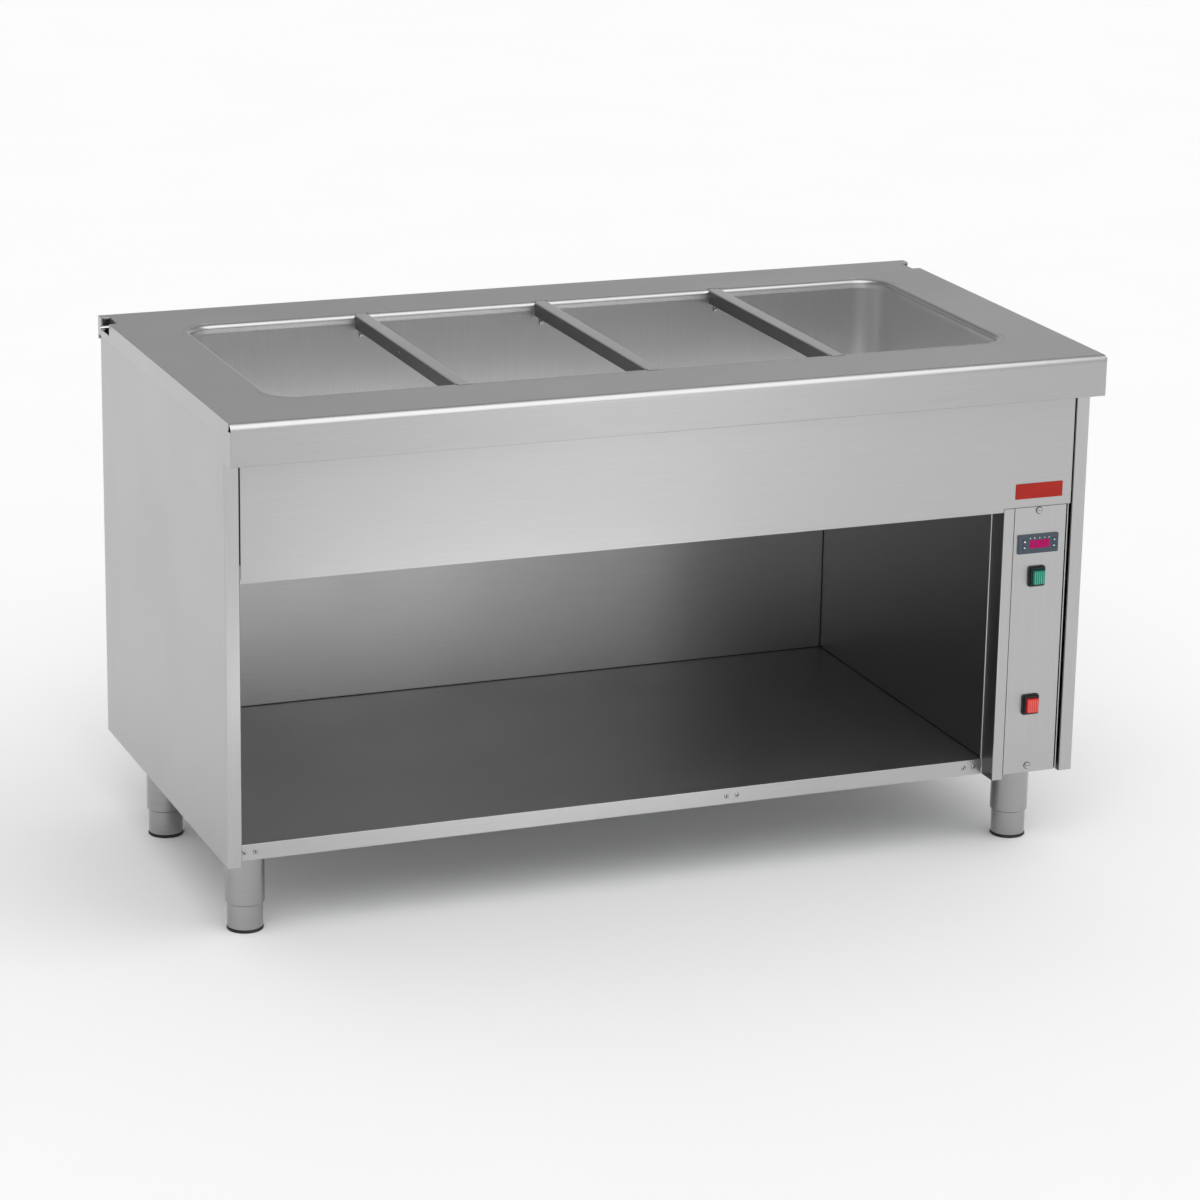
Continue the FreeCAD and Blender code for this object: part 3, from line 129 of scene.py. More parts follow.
def satin_stainless(title, colour, along, gloss, drawn_out=0.65):
    """Stainless sheet, brushed satin: fine grain, and reflections drawn out across it.

    The piece's "across" map runs across the grain, which is the way the reflections spread.
    """
    steel = bpy.context.scene.counter_steel
    material, tree, place = empty_material(title)
    # Real grain is some 0.1 mm wide; it is drawn coarser so that it shows at all
    scale = [1 / steel.grain_width] * 3
    scale["xyz".index(along)] = 1 / steel.grain_length
    drawn = add_node(tree, "ShaderNodeMapping", {"Vector": place, "Scale": scale})
    grain = add_node(tree, "ShaderNodeTexNoise",
                     {"Vector": drawn.outputs[0], "Scale": 1.0, "Detail": 2.0,
                      "Roughness": 0.7}).outputs[0]
    cloud = add_node(tree, "ShaderNodeTexNoise",
                     {"Vector": place, "Scale": 5.0, "Detail": 3.0}).outputs[0]
    bump = add_node(tree, "ShaderNodeBump",
                    {"Strength": 0.12, "Distance": 0.2 * MM, "Height": grain})
    spread = add_node(tree, "ShaderNodeTangent", direction_type="UV_MAP", uv_map="across")
    return shaded(material, colour, grain, (1 - steel.grain_contrast, 1 + steel.grain_contrast),
                  cloud, (gloss - 0.02, gloss + 0.03),
                  {"Metallic": 1.0, "Normal": bump.outputs[0], "Anisotropic": drawn_out,
                   "Tangent": spread.outputs[0]})


def turned_steel(title, colour, gloss, ring=1.2 * MM):
    """Steel turned on a lathe or drawn as tube: fine rings round the upright axis."""
    material, tree, place = empty_material(title)
    drawn = add_node(tree, "ShaderNodeMapping", {"Vector": place, "Scale": (12, 12, 1 / ring)})
    rings = add_node(tree, "ShaderNodeTexNoise",
                     {"Vector": drawn.outputs[0], "Scale": 1.0, "Detail": 2.0}).outputs[0]
    return shaded(material, colour, rings, (0.94, 1.04), rings, (gloss - 0.03, gloss + 0.03),
                  {"Metallic": 1.0})


def zinc_spangle(title, colour):
    """Hot-dip galvanised sheet: grey zinc in crystals of about 12 mm with lighter edges."""
    material, tree, place = empty_material(title)
    crystals = add_node(tree, "ShaderNodeTexVoronoi",
                        {"Vector": place, "Scale": 1 / (12 * MM)}).outputs["Distance"]
    return shaded(material, colour, crystals, (0.88, 1.08), crystals, (0.42, 0.55),
                  {"Metallic": 1.0}, span=(0.0, 0.8))


def bright_metal(title, colour, gloss):
    """Plated or cast metal with small marks of handling."""
    material, tree, place = empty_material(title)
    marks = add_node(tree, "ShaderNodeTexNoise",
                     {"Vector": place, "Scale": 220.0, "Detail": 3.0}).outputs[0]
    return shaded(material, colour, marks, (0.92, 1.05), marks, (gloss - 0.04, gloss + 0.06),
                  {"Metallic": 1.0})


def moulded_plastic(title, colour, gloss, grit=0.6 * MM, depth=0.3, extra=None):
    """Moulded or coated plastic: even colour, and a faint grain as coarse as the grit."""
    material, tree, place = empty_material(title)
    grains = add_node(tree, "ShaderNodeTexNoise",
                      {"Vector": place, "Scale": 1 / grit, "Detail": 1.0})
    cloud = add_node(tree, "ShaderNodeTexNoise",
                     {"Vector": place, "Scale": 60.0, "Detail": 2.0}).outputs[0]
    bump = add_node(tree, "ShaderNodeBump",
                    {"Strength": depth, "Distance": 0.05 * MM, "Height": grains.outputs[0]})
    return shaded(material, colour, cloud, (0.93, 1.05), cloud, (gloss - 0.04, gloss + 0.04),
                  {"Normal": bump.outputs[0], **(extra or {})})


def felted_wool(title, colour):
    """Pressed mineral wool: dull, with fibres a few millimetres long."""
    material, tree, place = empty_material(title)
    fibres = add_node(tree, "ShaderNodeTexNoise",
                      {"Vector": place, "Scale": 260.0, "Detail": 5.0, "Distortion": 1.2})
    tone = add_node(tree, "ShaderNodeMapRange",
                    {"Value": fibres.outputs[0], 1: NOISE_SPAN[0], 2: NOISE_SPAN[1], 3: 0.75,
                     4: 1.12})
    tint = add_node(tree, "ShaderNodeHueSaturation", {"Color": colour, "Value": tone.outputs[0]})
    bump = add_node(tree, "ShaderNodeBump",
                    {"Strength": 0.8, "Distance": 1 * MM, "Height": fibres.outputs[0]})
    shader = add_node(tree, "ShaderNodeBsdfPrincipled",
                      {"Base Color": tint.outputs[0], "Roughness": 0.95,
                       "Normal": bump.outputs[0]})
    return finish_material(material, shader, colour)


def finish(name):
    """The material of that name, made the first time that it is asked for."""
    found = bpy.data.materials.get(name)
    if found:
        return found
    steel = bpy.context.scene.counter_steel
    controls = bpy.context.scene.counter_controls
    # Each name's maker, with the colour and the other values that it takes after the name
    makers = {
        # 1.4301 sheet with a No. 4 satin: the deck is brushed along its length
        "satin stainless, deck": (satin_stainless, steel.deck_colour, "x", 0.31),
        "satin stainless, cross bar": (satin_stainless, steel.deck_colour, "y", 0.31),
        # The same sheet on the front and the shelf, painted a little brighter than the deck as
        # painted light, and a little smoother
        "satin stainless, front": (satin_stainless, steel.front_colour, "x", 0.30),
        "satin stainless, upright": (satin_stainless, steel.front_colour, "z", 0.30),
        "satin stainless, shelf": (satin_stainless, steel.front_colour, "x", 0.30),
        # The cabinet's other sheets are painted darker than the front, as painted shade, because
        # they only see one another
        "satin stainless, cabinet": (satin_stainless, steel.cabinet_colour, "x", 0.33),
        "satin stainless, partition": (satin_stainless, linear("#808080"), "y", 0.30),
        # Deep-drawn sheet, polished after drawing
        # Deep-drawn sheet, painted lighter than the deck as painted light
        "polished stainless, well": (satin_stainless, steel.well_colour, "z", 0.36),
        # The flanks of the bars and the column are painted darker than the deck, as painted shade
        "mill-finished stainless, flank": (satin_stainless, linear("#6C6C6C"), "y", 0.36, 0.4),
        "drawn steel tube, leg": (turned_steel, steel.leg_colour, 0.22),
        "turned steel, foot": (turned_steel, steel.leg_colour, 0.23, 0.8 * MM),
        "galvanised sheet": (zinc_spangle, linear("#A9ADB0")),
        "zinc-plated steel": (bright_metal, linear("#C4C4C2"), 0.24),
        "heat-tinted sheath": (bright_metal, linear("#7C7671"), 0.42),
        "stainless casting": (bright_metal, linear("#BDBDBB"), 0.30),
        "forged brass": (bright_metal, linear("#C9B47C"), 0.26),
        "mineral wool": (felted_wool, linear("#B8AF8C")),
        # Dip-coated vinyl: smooth and a little glossy
        "red vinyl dip": (moulded_plastic, linear("#B3241C"), 0.32, 2 * MM, 0.15),
        # Enamelled aluminium plate, smooth and half matt
        "red enamel": (moulded_plastic, controls.plate_colour, 0.35, 3 * MM, 0.05,
                       {"Specular IOR Level": 0.2}),
        "slate ABS, case": (moulded_plastic, controls.case_colour, 0.38),
        "slate ABS, key": (moulded_plastic, linear("#44505C"), 0.45),
        "black ABS": (moulded_plastic, linear("#17191C"), 0.40),
        "grey polyamide": (moulded_plastic, linear("#A9A9A2"), 0.50),
        # Tinted polycarbonate in front of the display, with a film against glare
        "crimson polycarbonate": (moulded_plastic, controls.window_colour, 0.30, 2 * MM, 0.02,
                                  {"Specular IOR Level": 0.15}),
        "white print": (moulded_plastic, linear("#E6EBEC"), 0.5),
        # Translucent polycarbonate lit from behind by a neon, so it glows a little
        "green polycarbonate, lit": (
            moulded_plastic, controls.green_colour, 0.20, 2 * MM, 0.04,
            {"Emission Color": controls.green_colour, "Emission Strength": 0.12}),
        "red polycarbonate, lit": (
            moulded_plastic, controls.red_colour, 0.20, 2 * MM, 0.04,
            {"Emission Color": controls.red_colour, "Emission Strength": 0.15}),
        # The ribs are painted brighter than the face between them, a painted highlight where they
        # gather the light
        "green polycarbonate, rib": (moulded_plastic, linear("#2DAF93"), 0.18, 2 * MM, 0.04),
        "red polycarbonate, rib": (moulded_plastic, linear("#E2605A"), 0.18, 2 * MM, 0.04),
        "black rubber": (moulded_plastic, linear("#1E1E1E"), 0.62, 1 * MM, 0.5),
        # Silicone pressed into a corner with a finger, half glossy
        "black sealant": (moulded_plastic, linear("#101010"), 0.45, 4 * MM),
        # A black disc, painted shade that stands where a hole is
        "dark gap": (moulded_plastic, linear("#0C0C0C"), 0.7),
    }
    maker, *values = makers[name]
    return maker(name, *values)


# Making and placing pieces


def keep(mesh, title, material):
    """An object for a mesh, with its material, at the origin."""
    piece = bpy.data.objects.new(title, mesh)
    bpy.context.scene.collection.objects.link(piece)
    if material:
        mesh.materials.clear()
        mesh.materials.append(finish(material))
    return piece


def seat(piece, body, slot, *nodes):
    """Let a piece ride on its body and hide the nodes that it stands for. The slot is not used."""
    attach(piece, body)
    if nodes:
        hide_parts(*nodes)
    return piece


def smoothed(piece, angle=30):
    """Shade a piece smooth, with hard edges past that angle and flats kept flat."""
    mesh = piece.data
    mesh.polygons.foreach_set("use_smooth", [True] * len(mesh.polygons))
    mesh.set_sharp_from_angle(angle=math.radians(angle))
    flats = piece.modifiers.new("flats", "WEIGHTED_NORMAL")
    flats.keep_sharp = True
    flats.weight = 100
    return piece


def work_in(piece):
    """Work a piece's modifiers into its mesh."""
    view = bpy.context.evaluated_depsgraph_get()
    piece.data = bpy.data.meshes.new_from_object(piece.evaluated_get(view))
    piece.modifiers.clear()


def map_across(mesh, grain):
    """Give a mesh the map "across", whose U runs across the grain on every face."""
    layer = mesh.uv_layers.new(name="across")
    for face in mesh.polygons:
        flat = max(range(3), key=lambda i: abs(face.normal[i]))
        along = grain if grain != flat else (flat + 1) % 3
        across = 3 - flat - along
        for corner in face.loop_indices:
            place = mesh.vertices[mesh.loops[corner].vertex_index].co
            layer.uv[corner].vector = (place[across], place[along])


def flat_key(face):
    """A flat's normal and distance, rounded so that the faces of one flat share it."""
    return (*(round(c, 3) for c in face.normal), round(face.normal.dot(face.verts[0].co), 5))


def room_across(edge, face, rims):
    """How far a flat runs from the middle of one of its edges straight to another."""
    loop = next(corner for corner in face.loops if corner.edge == edge)
    line = (loop.link_loop_next.vert.co - loop.vert.co).normalized()
    inward = face.normal.cross(line)
    start = (edge.verts[0].co + edge.verts[1].co) / 2
    room = max((v.co - start).dot(inward) for v in face.verts)
    for other in rims:
        near, far = (v.co - start for v in other.verts)
        sides = near.dot(line), far.dot(line)
        if other != edge and sides[0] * sides[1] < 0:
            reach = near.lerp(far, sides[0] / (sides[0] - sides[1])).dot(inward)
            if reach > 1e-6:
                room = min(room, reach)
    return room


def spot(place):
    """A place rounded to a hundredth of a millimetre."""
    return tuple(round(c, 5) for c in place)


def welded(*nodes):
    """Places where corners of two of the nodes meet."""
    seen, met = set(), set()
    for node in nodes:
        places = {spot(v.co) for v in frame["nodes"][node].data.vertices}
        met |= seen & places
        seen |= places
    return met


def folded(node, material, bend=1.5 * MM, grain="x", seams=()):
    """A copy of a CAD piece with its flats joined and its folds and cut edges rounded.

    Folds get the full bend radius. An edge of a thin sheet gets less than half its gauge,
    and an edge between two places in seams stays sharp, because it is welded flush.
    """
    mesh = frame["nodes"][node].data.copy()
    work = bmesh.new()
    work.from_mesh(mesh)
    bmesh.ops.remove_doubles(work, verts=work.verts, dist=SAME_PLACE)
    bmesh.ops.dissolve_limit(work, angle_limit=FLAT_TURN, verts=work.verts, edges=work.edges)
    weight = work.edges.layers.float.new("bevel_weight_edge")
    sharp = [edge for edge in work.edges if edge.calc_face_angle(0) > FOLD_TURN]
    rims = {}
    for edge in sharp:
        for face in edge.link_faces:
            rims.setdefault(flat_key(face), []).append(edge)
    for edge in sharp:
        if not all(spot(v.co) in seams for v in edge.verts):
            room = min(room_across(edge, face, rims[flat_key(face)]) for face in edge.link_faces)
            edge[weight] = min(1.0, EDGE_SHARE * room / bend)
    work.to_mesh(mesh)
    work.free()
    piece = keep(mesh, node + "_finished", material)
    bends = piece.modifiers.new("bends", "BEVEL")
    bends.limit_method = "WEIGHT"
    bends.width = bend
    bends.segments = 2
    bends.use_clamp_overlap = False
    work_in(piece)
    map_across(piece.data, "xyz".index(grain))
    return smoothed(piece)


def dress(node, material, bend, body="root", grain="x", seams=(), rework=None):
    """Put a finished copy of a CAD piece in its place, and look up the slot that the record gives
    it.
    """
    piece = folded(node, material, bend, grain, seams)
    if rework:
        rework(piece)
    slots = {part["node"]: part["material_slot"] for part in frame["record"]["subparts"]}
    return seat(piece, body, slots[node], node)


def lathe(title, rings, material, centre=(0, 0, 0), steps=96):
    """A turned solid from (radius, height) pairs that run round its section."""
    work = bmesh.new()
    rows = []
    for radius, height in rings:
        if radius == 0:
            rows.append([work.verts.new((0, 0, height))])
        else:
            turns = [2 * math.pi * i / steps for i in range(steps)]
            rows.append([work.verts.new((radius * math.cos(a), radius * math.sin(a), height))
                         for a in turns])
    pairs = list(zip(rows, rows[1:]))
    if rings[0][0] and rings[-1][0]:
        pairs.append((rows[-1], rows[0]))
    for low, high in pairs:
        for i in range(steps):
            j = (i + 1) % steps
            corners = [low[i % len(low)], low[j % len(low)], high[j % len(high)],
                       high[i % len(high)]]
            face = list(dict.fromkeys(corners))
            if len(face) > 2:
                work.faces.new(face)
    bmesh.ops.translate(work, verts=work.verts, vec=centre)
    bmesh.ops.recalc_face_normals(work, faces=work.faces)
    mesh = bpy.data.meshes.new(title)
    work.to_mesh(mesh)
    work.free()
    return smoothed(keep(mesh, title, material), 25)


def grown(title, tree, points, values):
    """Run a node tree on loose points and keep what it makes as a plain mesh."""
    mesh = bpy.data.meshes.new(title)
    mesh.from_pydata(points, [], [])
    piece = keep(mesh, title, None)
    modifier = piece.modifiers.new("grow", "NODES")
    modifier.node_group = tree
    for item in tree.interface.items_tree:
        if item.item_type == "SOCKET" and item.name in values:
            modifier[item.identifier] = values[item.name]
    work_in(piece)
    return piece


def node_tree(title, **inputs):
    """A geometry tree with one geometry input, one output and the named inputs."""
    tree = bpy.data.node_groups.new(title, "GeometryNodeTree")
    tree.interface.new_socket("Points", in_out="INPUT", socket_type="NodeSocketGeometry")
    for name, value in inputs.items():
        kind = "NodeSocketMaterial" if value is None else "NodeSocketFloat"
        socket = tree.interface.new_socket(name.replace("_", " "), in_out="INPUT",
                                           socket_type=kind)
        if value is not None:
            socket.default_value = value
            socket.subtype = "DISTANCE"
    tree.interface.new_socket("Geometry", in_out="OUTPUT", socket_type="NodeSocketGeometry")
    return tree, add_node(tree, "NodeGroupInput").outputs


def place_copies(tree, points, shape, turn):
    """Set a shape on each point, turned, as real mesh, and give it to the output."""
    copies = add_node(tree, "GeometryNodeInstanceOnPoints",
                      {"Points": points, "Instance": shape, "Rotation": turn})
    real = add_node(tree, "GeometryNodeRealizeInstances", {0: copies.outputs[0]})
    add_node(tree, "NodeGroupOutput", {0: real.outputs[0]})


def painted(tree, shape, material):
    """Give a shape in a tree its material."""
    return add_node(tree, "GeometryNodeSetMaterial",
                    {"Geometry": shape, "Material": material}).outputs[0]


def scaled(tree, value, share):
    """A tree's value times a share."""
    return add_node(tree, "ShaderNodeMath", {0: value, 1: share}, operation="MULTIPLY").outputs[0]


# Settings that a user would change


def colour_setting(name, description, colour):
    """A colour that the panel shows."""
    return bpy.props.FloatVectorProperty(
        name=name, description=description, subtype="COLOR", size=4, min=0, max=1,
        default=linear(colour))


def length_setting(name, description, least, length):
    """A length that the panel shows."""
    return bpy.props.FloatProperty(
        name=name, description=description, subtype="DISTANCE", unit="LENGTH", min=least,
        default=length)


class CounterSteel(bpy.types.PropertyGroup):
    """Colours and grain of the stainless steel."""

    deck_colour: colour_setting("Deck", "Colour of the deck's sheet and the cross bars", "#B2B2B2")
    front_colour: colour_setting("Front", "Colour of the front, end panels and shelf", "#B8B8B8")
    cabinet_colour: colour_setting("Cabinet", "Colour of the cabinet's back and top", "#A2A2A2")
    well_colour: colour_setting("Well", "Colour of the well and the rim's collar", "#E2E2E2")
    leg_colour: colour_setting("Legs", "Colour of the leg tubes and feet", "#A6A6A6")
    grain_width: length_setting("Grain width", "Width of one brushed line", 0.1 * MM, 1.4 * MM)
    grain_length: length_setting("Grain length", "Length of one brushed line", 1 * MM, 90 * MM)
    grain_contrast: bpy.props.FloatProperty(
        name="Grain contrast", description="How far the grain lightens and darkens the sheet",
        subtype="FACTOR", min=0, max=1, default=0.03)
    bend: length_setting("Bend radius", "Outer radius of a fold", 0.1 * MM, 1.5 * MM)


class CounterControls(bpy.types.PropertyGroup):
    """Colours of the controls and sizes of their small parts."""

    plate_colour: colour_setting("Plate", "Enamel of the blank name plate", "#A3231B")
    case_colour: colour_setting("Thermostat", "Moulded case of the thermostat", "#3A4652")
    window_colour: colour_setting("Window", "Tinted window of the display", "#A4085A")
    green_colour: colour_setting("Green switch", "Lens of the upper switch", "#0B6A59")
    red_colour: colour_setting("Red switch", "Lens of the lower switch", "#C22C28")
    rib_pitch: length_setting("Rib pitch", "Distance between the ribs of a rocker", 0.5 * MM,
                              3.9 * MM)
    rib_radius: length_setting("Rib radius", "Radius of a rocker's ribs", 0.1 * MM, 1.1 * MM)


class CounterStage(bpy.types.PropertyGroup):
    """Camera and light."""

    lens: bpy.props.FloatProperty(
        name="Lens", description="Focal length", subtype="DISTANCE_CAMERA", min=1, default=123.42)
    yaw: bpy.props.FloatProperty(
        name="Yaw", description="How far the camera looks to the right", subtype="ANGLE",
        unit="ROTATION", default=math.radians(21.746))
    pitch: bpy.props.FloatProperty(
        name="Pitch", description="How far the camera looks down", subtype="ANGLE",
        unit="ROTATION", default=math.radians(16.853))
    roll: bpy.props.FloatProperty(
        name="Roll", description="How far the camera leans", subtype="ANGLE", unit="ROTATION",
        default=math.radians(0.986))
    place: bpy.props.FloatVectorProperty(
        name="Place", description="Where the camera stands", subtype="TRANSLATION",
        unit="LENGTH", size=3, default=(-2.464, -6.212, 2.444))
    ceiling: bpy.props.FloatProperty(
        name="Ceiling", description="Brightness of the studio overhead, where its backdrop is 1",
        subtype="FACTOR", min=0, max=1, default=0.42)
    dim_side: bpy.props.FloatProperty(
        name="Left side", description="Brightness of the studio on the left, where its right is 1",
        subtype="FACTOR", min=0, max=1, default=0.6)


# Pieces


def box_outline(left, bottom, right, top):
    """Corners of an upright rectangle."""
    return [(left, bottom), (right, bottom), (right, top), (left, top)]


def flat_shape(title, outline, y, thick, material):
    """A thin raised shape on a front face, from (x, z) corners."""
    work = bmesh.new()
    front = [work.verts.new((x, y - thick, z)) for x, z in outline]
    face = work.faces.new(front)
    made = bmesh.ops.extrude_face_region(work, geom=[face])
    moved = [v for v in made["geom"] if isinstance(v, bmesh.types.BMVert)]
    bmesh.ops.translate(work, verts=moved, vec=(0, thick, 0))
    bmesh.ops.recalc_face_normals(work, faces=work.faces)
    mesh = bpy.data.meshes.new(title)
    work.to_mesh(mesh)
    work.free()
    return keep(mesh, title, material)


def collar_like_well(piece):
    """Give the collar of the rim, down to the well, the same painted light as the well itself."""
    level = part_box("well_tank")[1].z + 0.1 * MM
    piece.data.materials.append(finish("polished stainless, well"))
    for face in piece.data.polygons:
        foot = min(piece.data.vertices[i].co.z for i in face.vertices)
        upright = abs(face.normal.z) < 0.1
        face.material_index = int(upright and foot < level)


def paint_flank_shade(piece):
    """Paint the sides of a folded sheet darker, as painted shade."""
    piece.data.materials.append(finish("mill-finished stainless, flank"))
    for face in piece.data.polygons:
        # Faces that look along x take the painted shade
        sideways = abs(face.normal.x) > 0.97
        face.material_index = int(sideways)


class COUNTER_OT_deck(bpy.types.Operator):
    """Folded top with its rolled rim, and the channels under it."""

    bl_idname = "counter.deck"
    bl_label = "Deck"

    def execute(self, context):
        bend = context.scene.counter_steel.bend
        reworks = {"counter_deck": None, "deck_rim": collar_like_well, "deck_edges": None}
        seams = welded(*reworks, "well_tank")
        for node, rework in reworks.items():
            dress(node, "satin stainless, deck", bend, seams=seams, rework=rework)
        dress("deck_stiffeners", "galvanised sheet", bend)
        # The brackets have the panels' finish
        seat(folded("link_brackets", "satin stainless, front", bend), "root", "panel_stainless",
             "link_brackets")
        dress("link_bolt", "zinc-plated steel", 0.4 * MM)
        return {"FINISHED"}


class COUNTER_OT_well(bpy.types.Operator):
    """Water well with its heating, insulation, probe and drain."""

    bl_idname = "counter.well"
    bl_label = "Well"

    def execute(self, context):
        dress("well_tank", "polished stainless, well", 0.6 * MM, grain="z",
              seams=welded("deck_rim", "well_tank"))
        # Finish, and how far the edges are rounded in millimetres
        pieces = {
            "well_insulation": ("mineral wool", 2.0),
            "well_heaters": ("heat-tinted sheath", 0.4),
            "tank_probe": ("stainless casting", 0.4),
            "drain_strainer": ("stainless casting", 0.2),
            "drain_fitting": ("stainless casting", 0.6),
            "drain_pipe": ("stainless casting", 0.6),
            "cabinet_ceiling": ("satin stainless, cabinet", 1.0),
            "drain_valve_body": ("forged brass", 0.8),
        }
        for node, (material, bend) in pieces.items():
            dress(node, material, bend * MM)
        dress("drain_valve_lever", "red vinyl dip", 0.8 * MM, "valve_lever")
        return {"FINISHED"}


class COUNTER_OT_bars(bpy.types.Operator):
    """Three lift-out cross bars."""

    bl_idname = "counter.bars"
    bl_label = "Cross bars"

    def execute(self, context):
        for side in ("left", "centre", "right"):
            dress(f"pan_bar_{side}", "satin stainless, cross bar", 0.8 * MM, f"bar_{side}", "y",
                  rework=paint_flank_shade)
        return {"FINISHED"}


class COUNTER_OT_carcass(bpy.types.Operator):
    """End panels, fascia, cabinet, shelf and base."""

    bl_idname = "counter.carcass"
    bl_label = "Carcass"

    def execute(self, context):
        bend = context.scene.counter_steel.bend
        finishes = {
            "side_panel_left": "satin stainless, upright",
            "side_panel_right": "satin stainless, upright",
            "side_liner_left": "satin stainless, partition",
            "side_liner_right": "satin stainless, partition",
            "back_panel": "satin stainless, cabinet",
            "front_fascia": "satin stainless, front",
            "fascia_rail": "satin stainless, front",
            "shelf_panel": "satin stainless, shelf",
            "partition_wall": "satin stainless, partition",
            "control_column": "satin stainless, upright",
            "control_cover": "satin stainless, upright",
            "cover_frame": "satin stainless, upright",
            "column_floor": "galvanised sheet",
            "base_rails": "galvanised sheet",
        }
        grains = {"satin stainless, upright": "z", "satin stainless, partition": "y"}
        for node, material in finishes.items():
            dress(node, material, bend, grain=grains.get(material, "x"),
                  rework=paint_flank_shade if node == "control_column" else None)
        # The sheet that shows between the cabinet and the column ends in a rolled hem, whose roll
        # catches the light and which takes the uprights' lighter colour as a painted highlight
        corner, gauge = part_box("partition_wall")[0], 3 * MM
        shelf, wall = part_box("shelf_panel"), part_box("back_panel")[0].y
        foot, head = shelf[1].z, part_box("fascia_rail")[0].z
        hem = flat_shape("partition_hem", box_outline(corner.x - gauge, foot, corner.x, head),
                         corner.y, gauge, "satin stainless, upright")
        rolled = hem.modifiers.new("roll", "BEVEL")
        rolled.width, rolled.segments = 0.4 * gauge, 3
        work_in(hem)
        map_across(hem.data, "xyz".index("z"))
        seat(smoothed(hem), "root", "cabinet_stainless")
        # Sealant in the cabinet's inner corners, which shows as a black line
        bead = 1.2 * MM
        runs = {
            "rear": (box_outline(shelf[0].x, foot, corner.x, foot + bead), wall, bead),
            "upright": (box_outline(corner.x - bead, foot, corner.x, head), wall, bead),
            "side": (box_outline(corner.x - bead, foot, corner.x, foot + bead), wall,
                     wall - corner.y),
        }
        for run, (outline, front, deep) in runs.items():
            seat(flat_shape(f"corner_sealant_{run}", outline, front, deep, "black sealant"),
                 "root", "pad_rubber")
        return {"FINISHED"}


def rivet_tree():
    """Blind rivet: a low dome with a rolled ring round its eye, a black disc of painted shade in
    the hole.
    """
    tree, inputs = node_tree("Blind rivets", Radius=4 * MM, Rise=1.2 * MM, Steel=None, Eye=None)
    radius, rise = inputs["Radius"], inputs["Rise"]
    # Every size below is a share of the head's radius or rise
    dome = add_node(tree, "GeometryNodeMeshCone",
                    {"Vertices": 32, "Radius Top": scaled(tree, radius, 0.66),
                     "Radius Bottom": radius, "Depth": scaled(tree, rise, 0.7)})
    ring = add_node(tree, "GeometryNodeCurvePrimitiveCircle",
                    {"Resolution": 32, "Radius": scaled(tree, radius, 0.56)})
    section = add_node(tree, "GeometryNodeCurvePrimitiveCircle",
                       {"Resolution": 10, "Radius": scaled(tree, radius, 0.13)})
    roll = add_node(tree, "GeometryNodeCurveToMesh", {0: ring.outputs[0], 1: section.outputs[0]})
    lift = add_node(tree, "ShaderNodeCombineXYZ", {"Z": scaled(tree, rise, 0.6)})
    raised = add_node(tree, "GeometryNodeTransform",
                      {"Geometry": roll.outputs[0], "Translation": lift.outputs[0]})
    bright = add_node(tree, "GeometryNodeJoinGeometry")
    tree.links.new(dome.outputs[0], bright.inputs[0])
    tree.links.new(raised.outputs[0], bright.inputs[0])
    # The eye is a black disc, painted shade where the hole is
    eye = add_node(tree, "GeometryNodeMeshCylinder",
                   {"Vertices": 24, "Radius": scaled(tree, radius, 0.44),
                    "Depth": scaled(tree, rise, 0.75)})
    both = add_node(tree, "GeometryNodeJoinGeometry")
    tree.links.new(painted(tree, bright.outputs[0], inputs["Steel"]), both.inputs[0])
    tree.links.new(painted(tree, eye.outputs[0], inputs["Eye"]), both.inputs[0])
    soft = add_node(tree, "GeometryNodeSetShadeSmooth", {"Geometry": both.outputs[0]})
    place_copies(tree, inputs["Points"], soft.outputs[0], (math.pi / 2, 0, 0))
    return tree


class COUNTER_OT_rivets(bpy.types.Operator):
    """Three pairs of blind rivets along the shelf's strip."""

    bl_idname = "counter.rivets"
    bl_label = "Shelf rivets"

    def execute(self, context):
        low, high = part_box("shelf_rivets")
        radius = (high.z - low.z) / 2
        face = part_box("shelf_panel")[0].y
        centres = sorted({round(v.co.x, 4) for v in frame["nodes"]["shelf_rivets"].data.vertices
                          if abs(v.co.z - high.z) < 2e-5})
        points = [(x, face, (low.z + high.z) / 2) for x in centres]
        piece = grown("shelf_rivet_heads", rivet_tree(), points,
                      {"Radius": radius, "Rise": face - low.y,
                       "Steel": finish("zinc-plated steel"), "Eye": finish("dark gap")})
        seat(piece, "root", "bolt_steel", "shelf_rivets")
        return {"FINISHED"}


def mark_tree():
    """Small printed or raised discs."""
    tree, inputs = node_tree("Round marks", Radius=0.9 * MM, Rise=0.1 * MM, Finish=None)
    disc = add_node(tree, "GeometryNodeMeshCylinder",
                    {"Vertices": 20, "Radius": inputs["Radius"], "Depth": inputs["Rise"]})
    place_copies(tree, inputs["Points"], painted(tree, disc.outputs[0], inputs["Finish"]),
                 (math.pi / 2, 0, 0))
    return tree


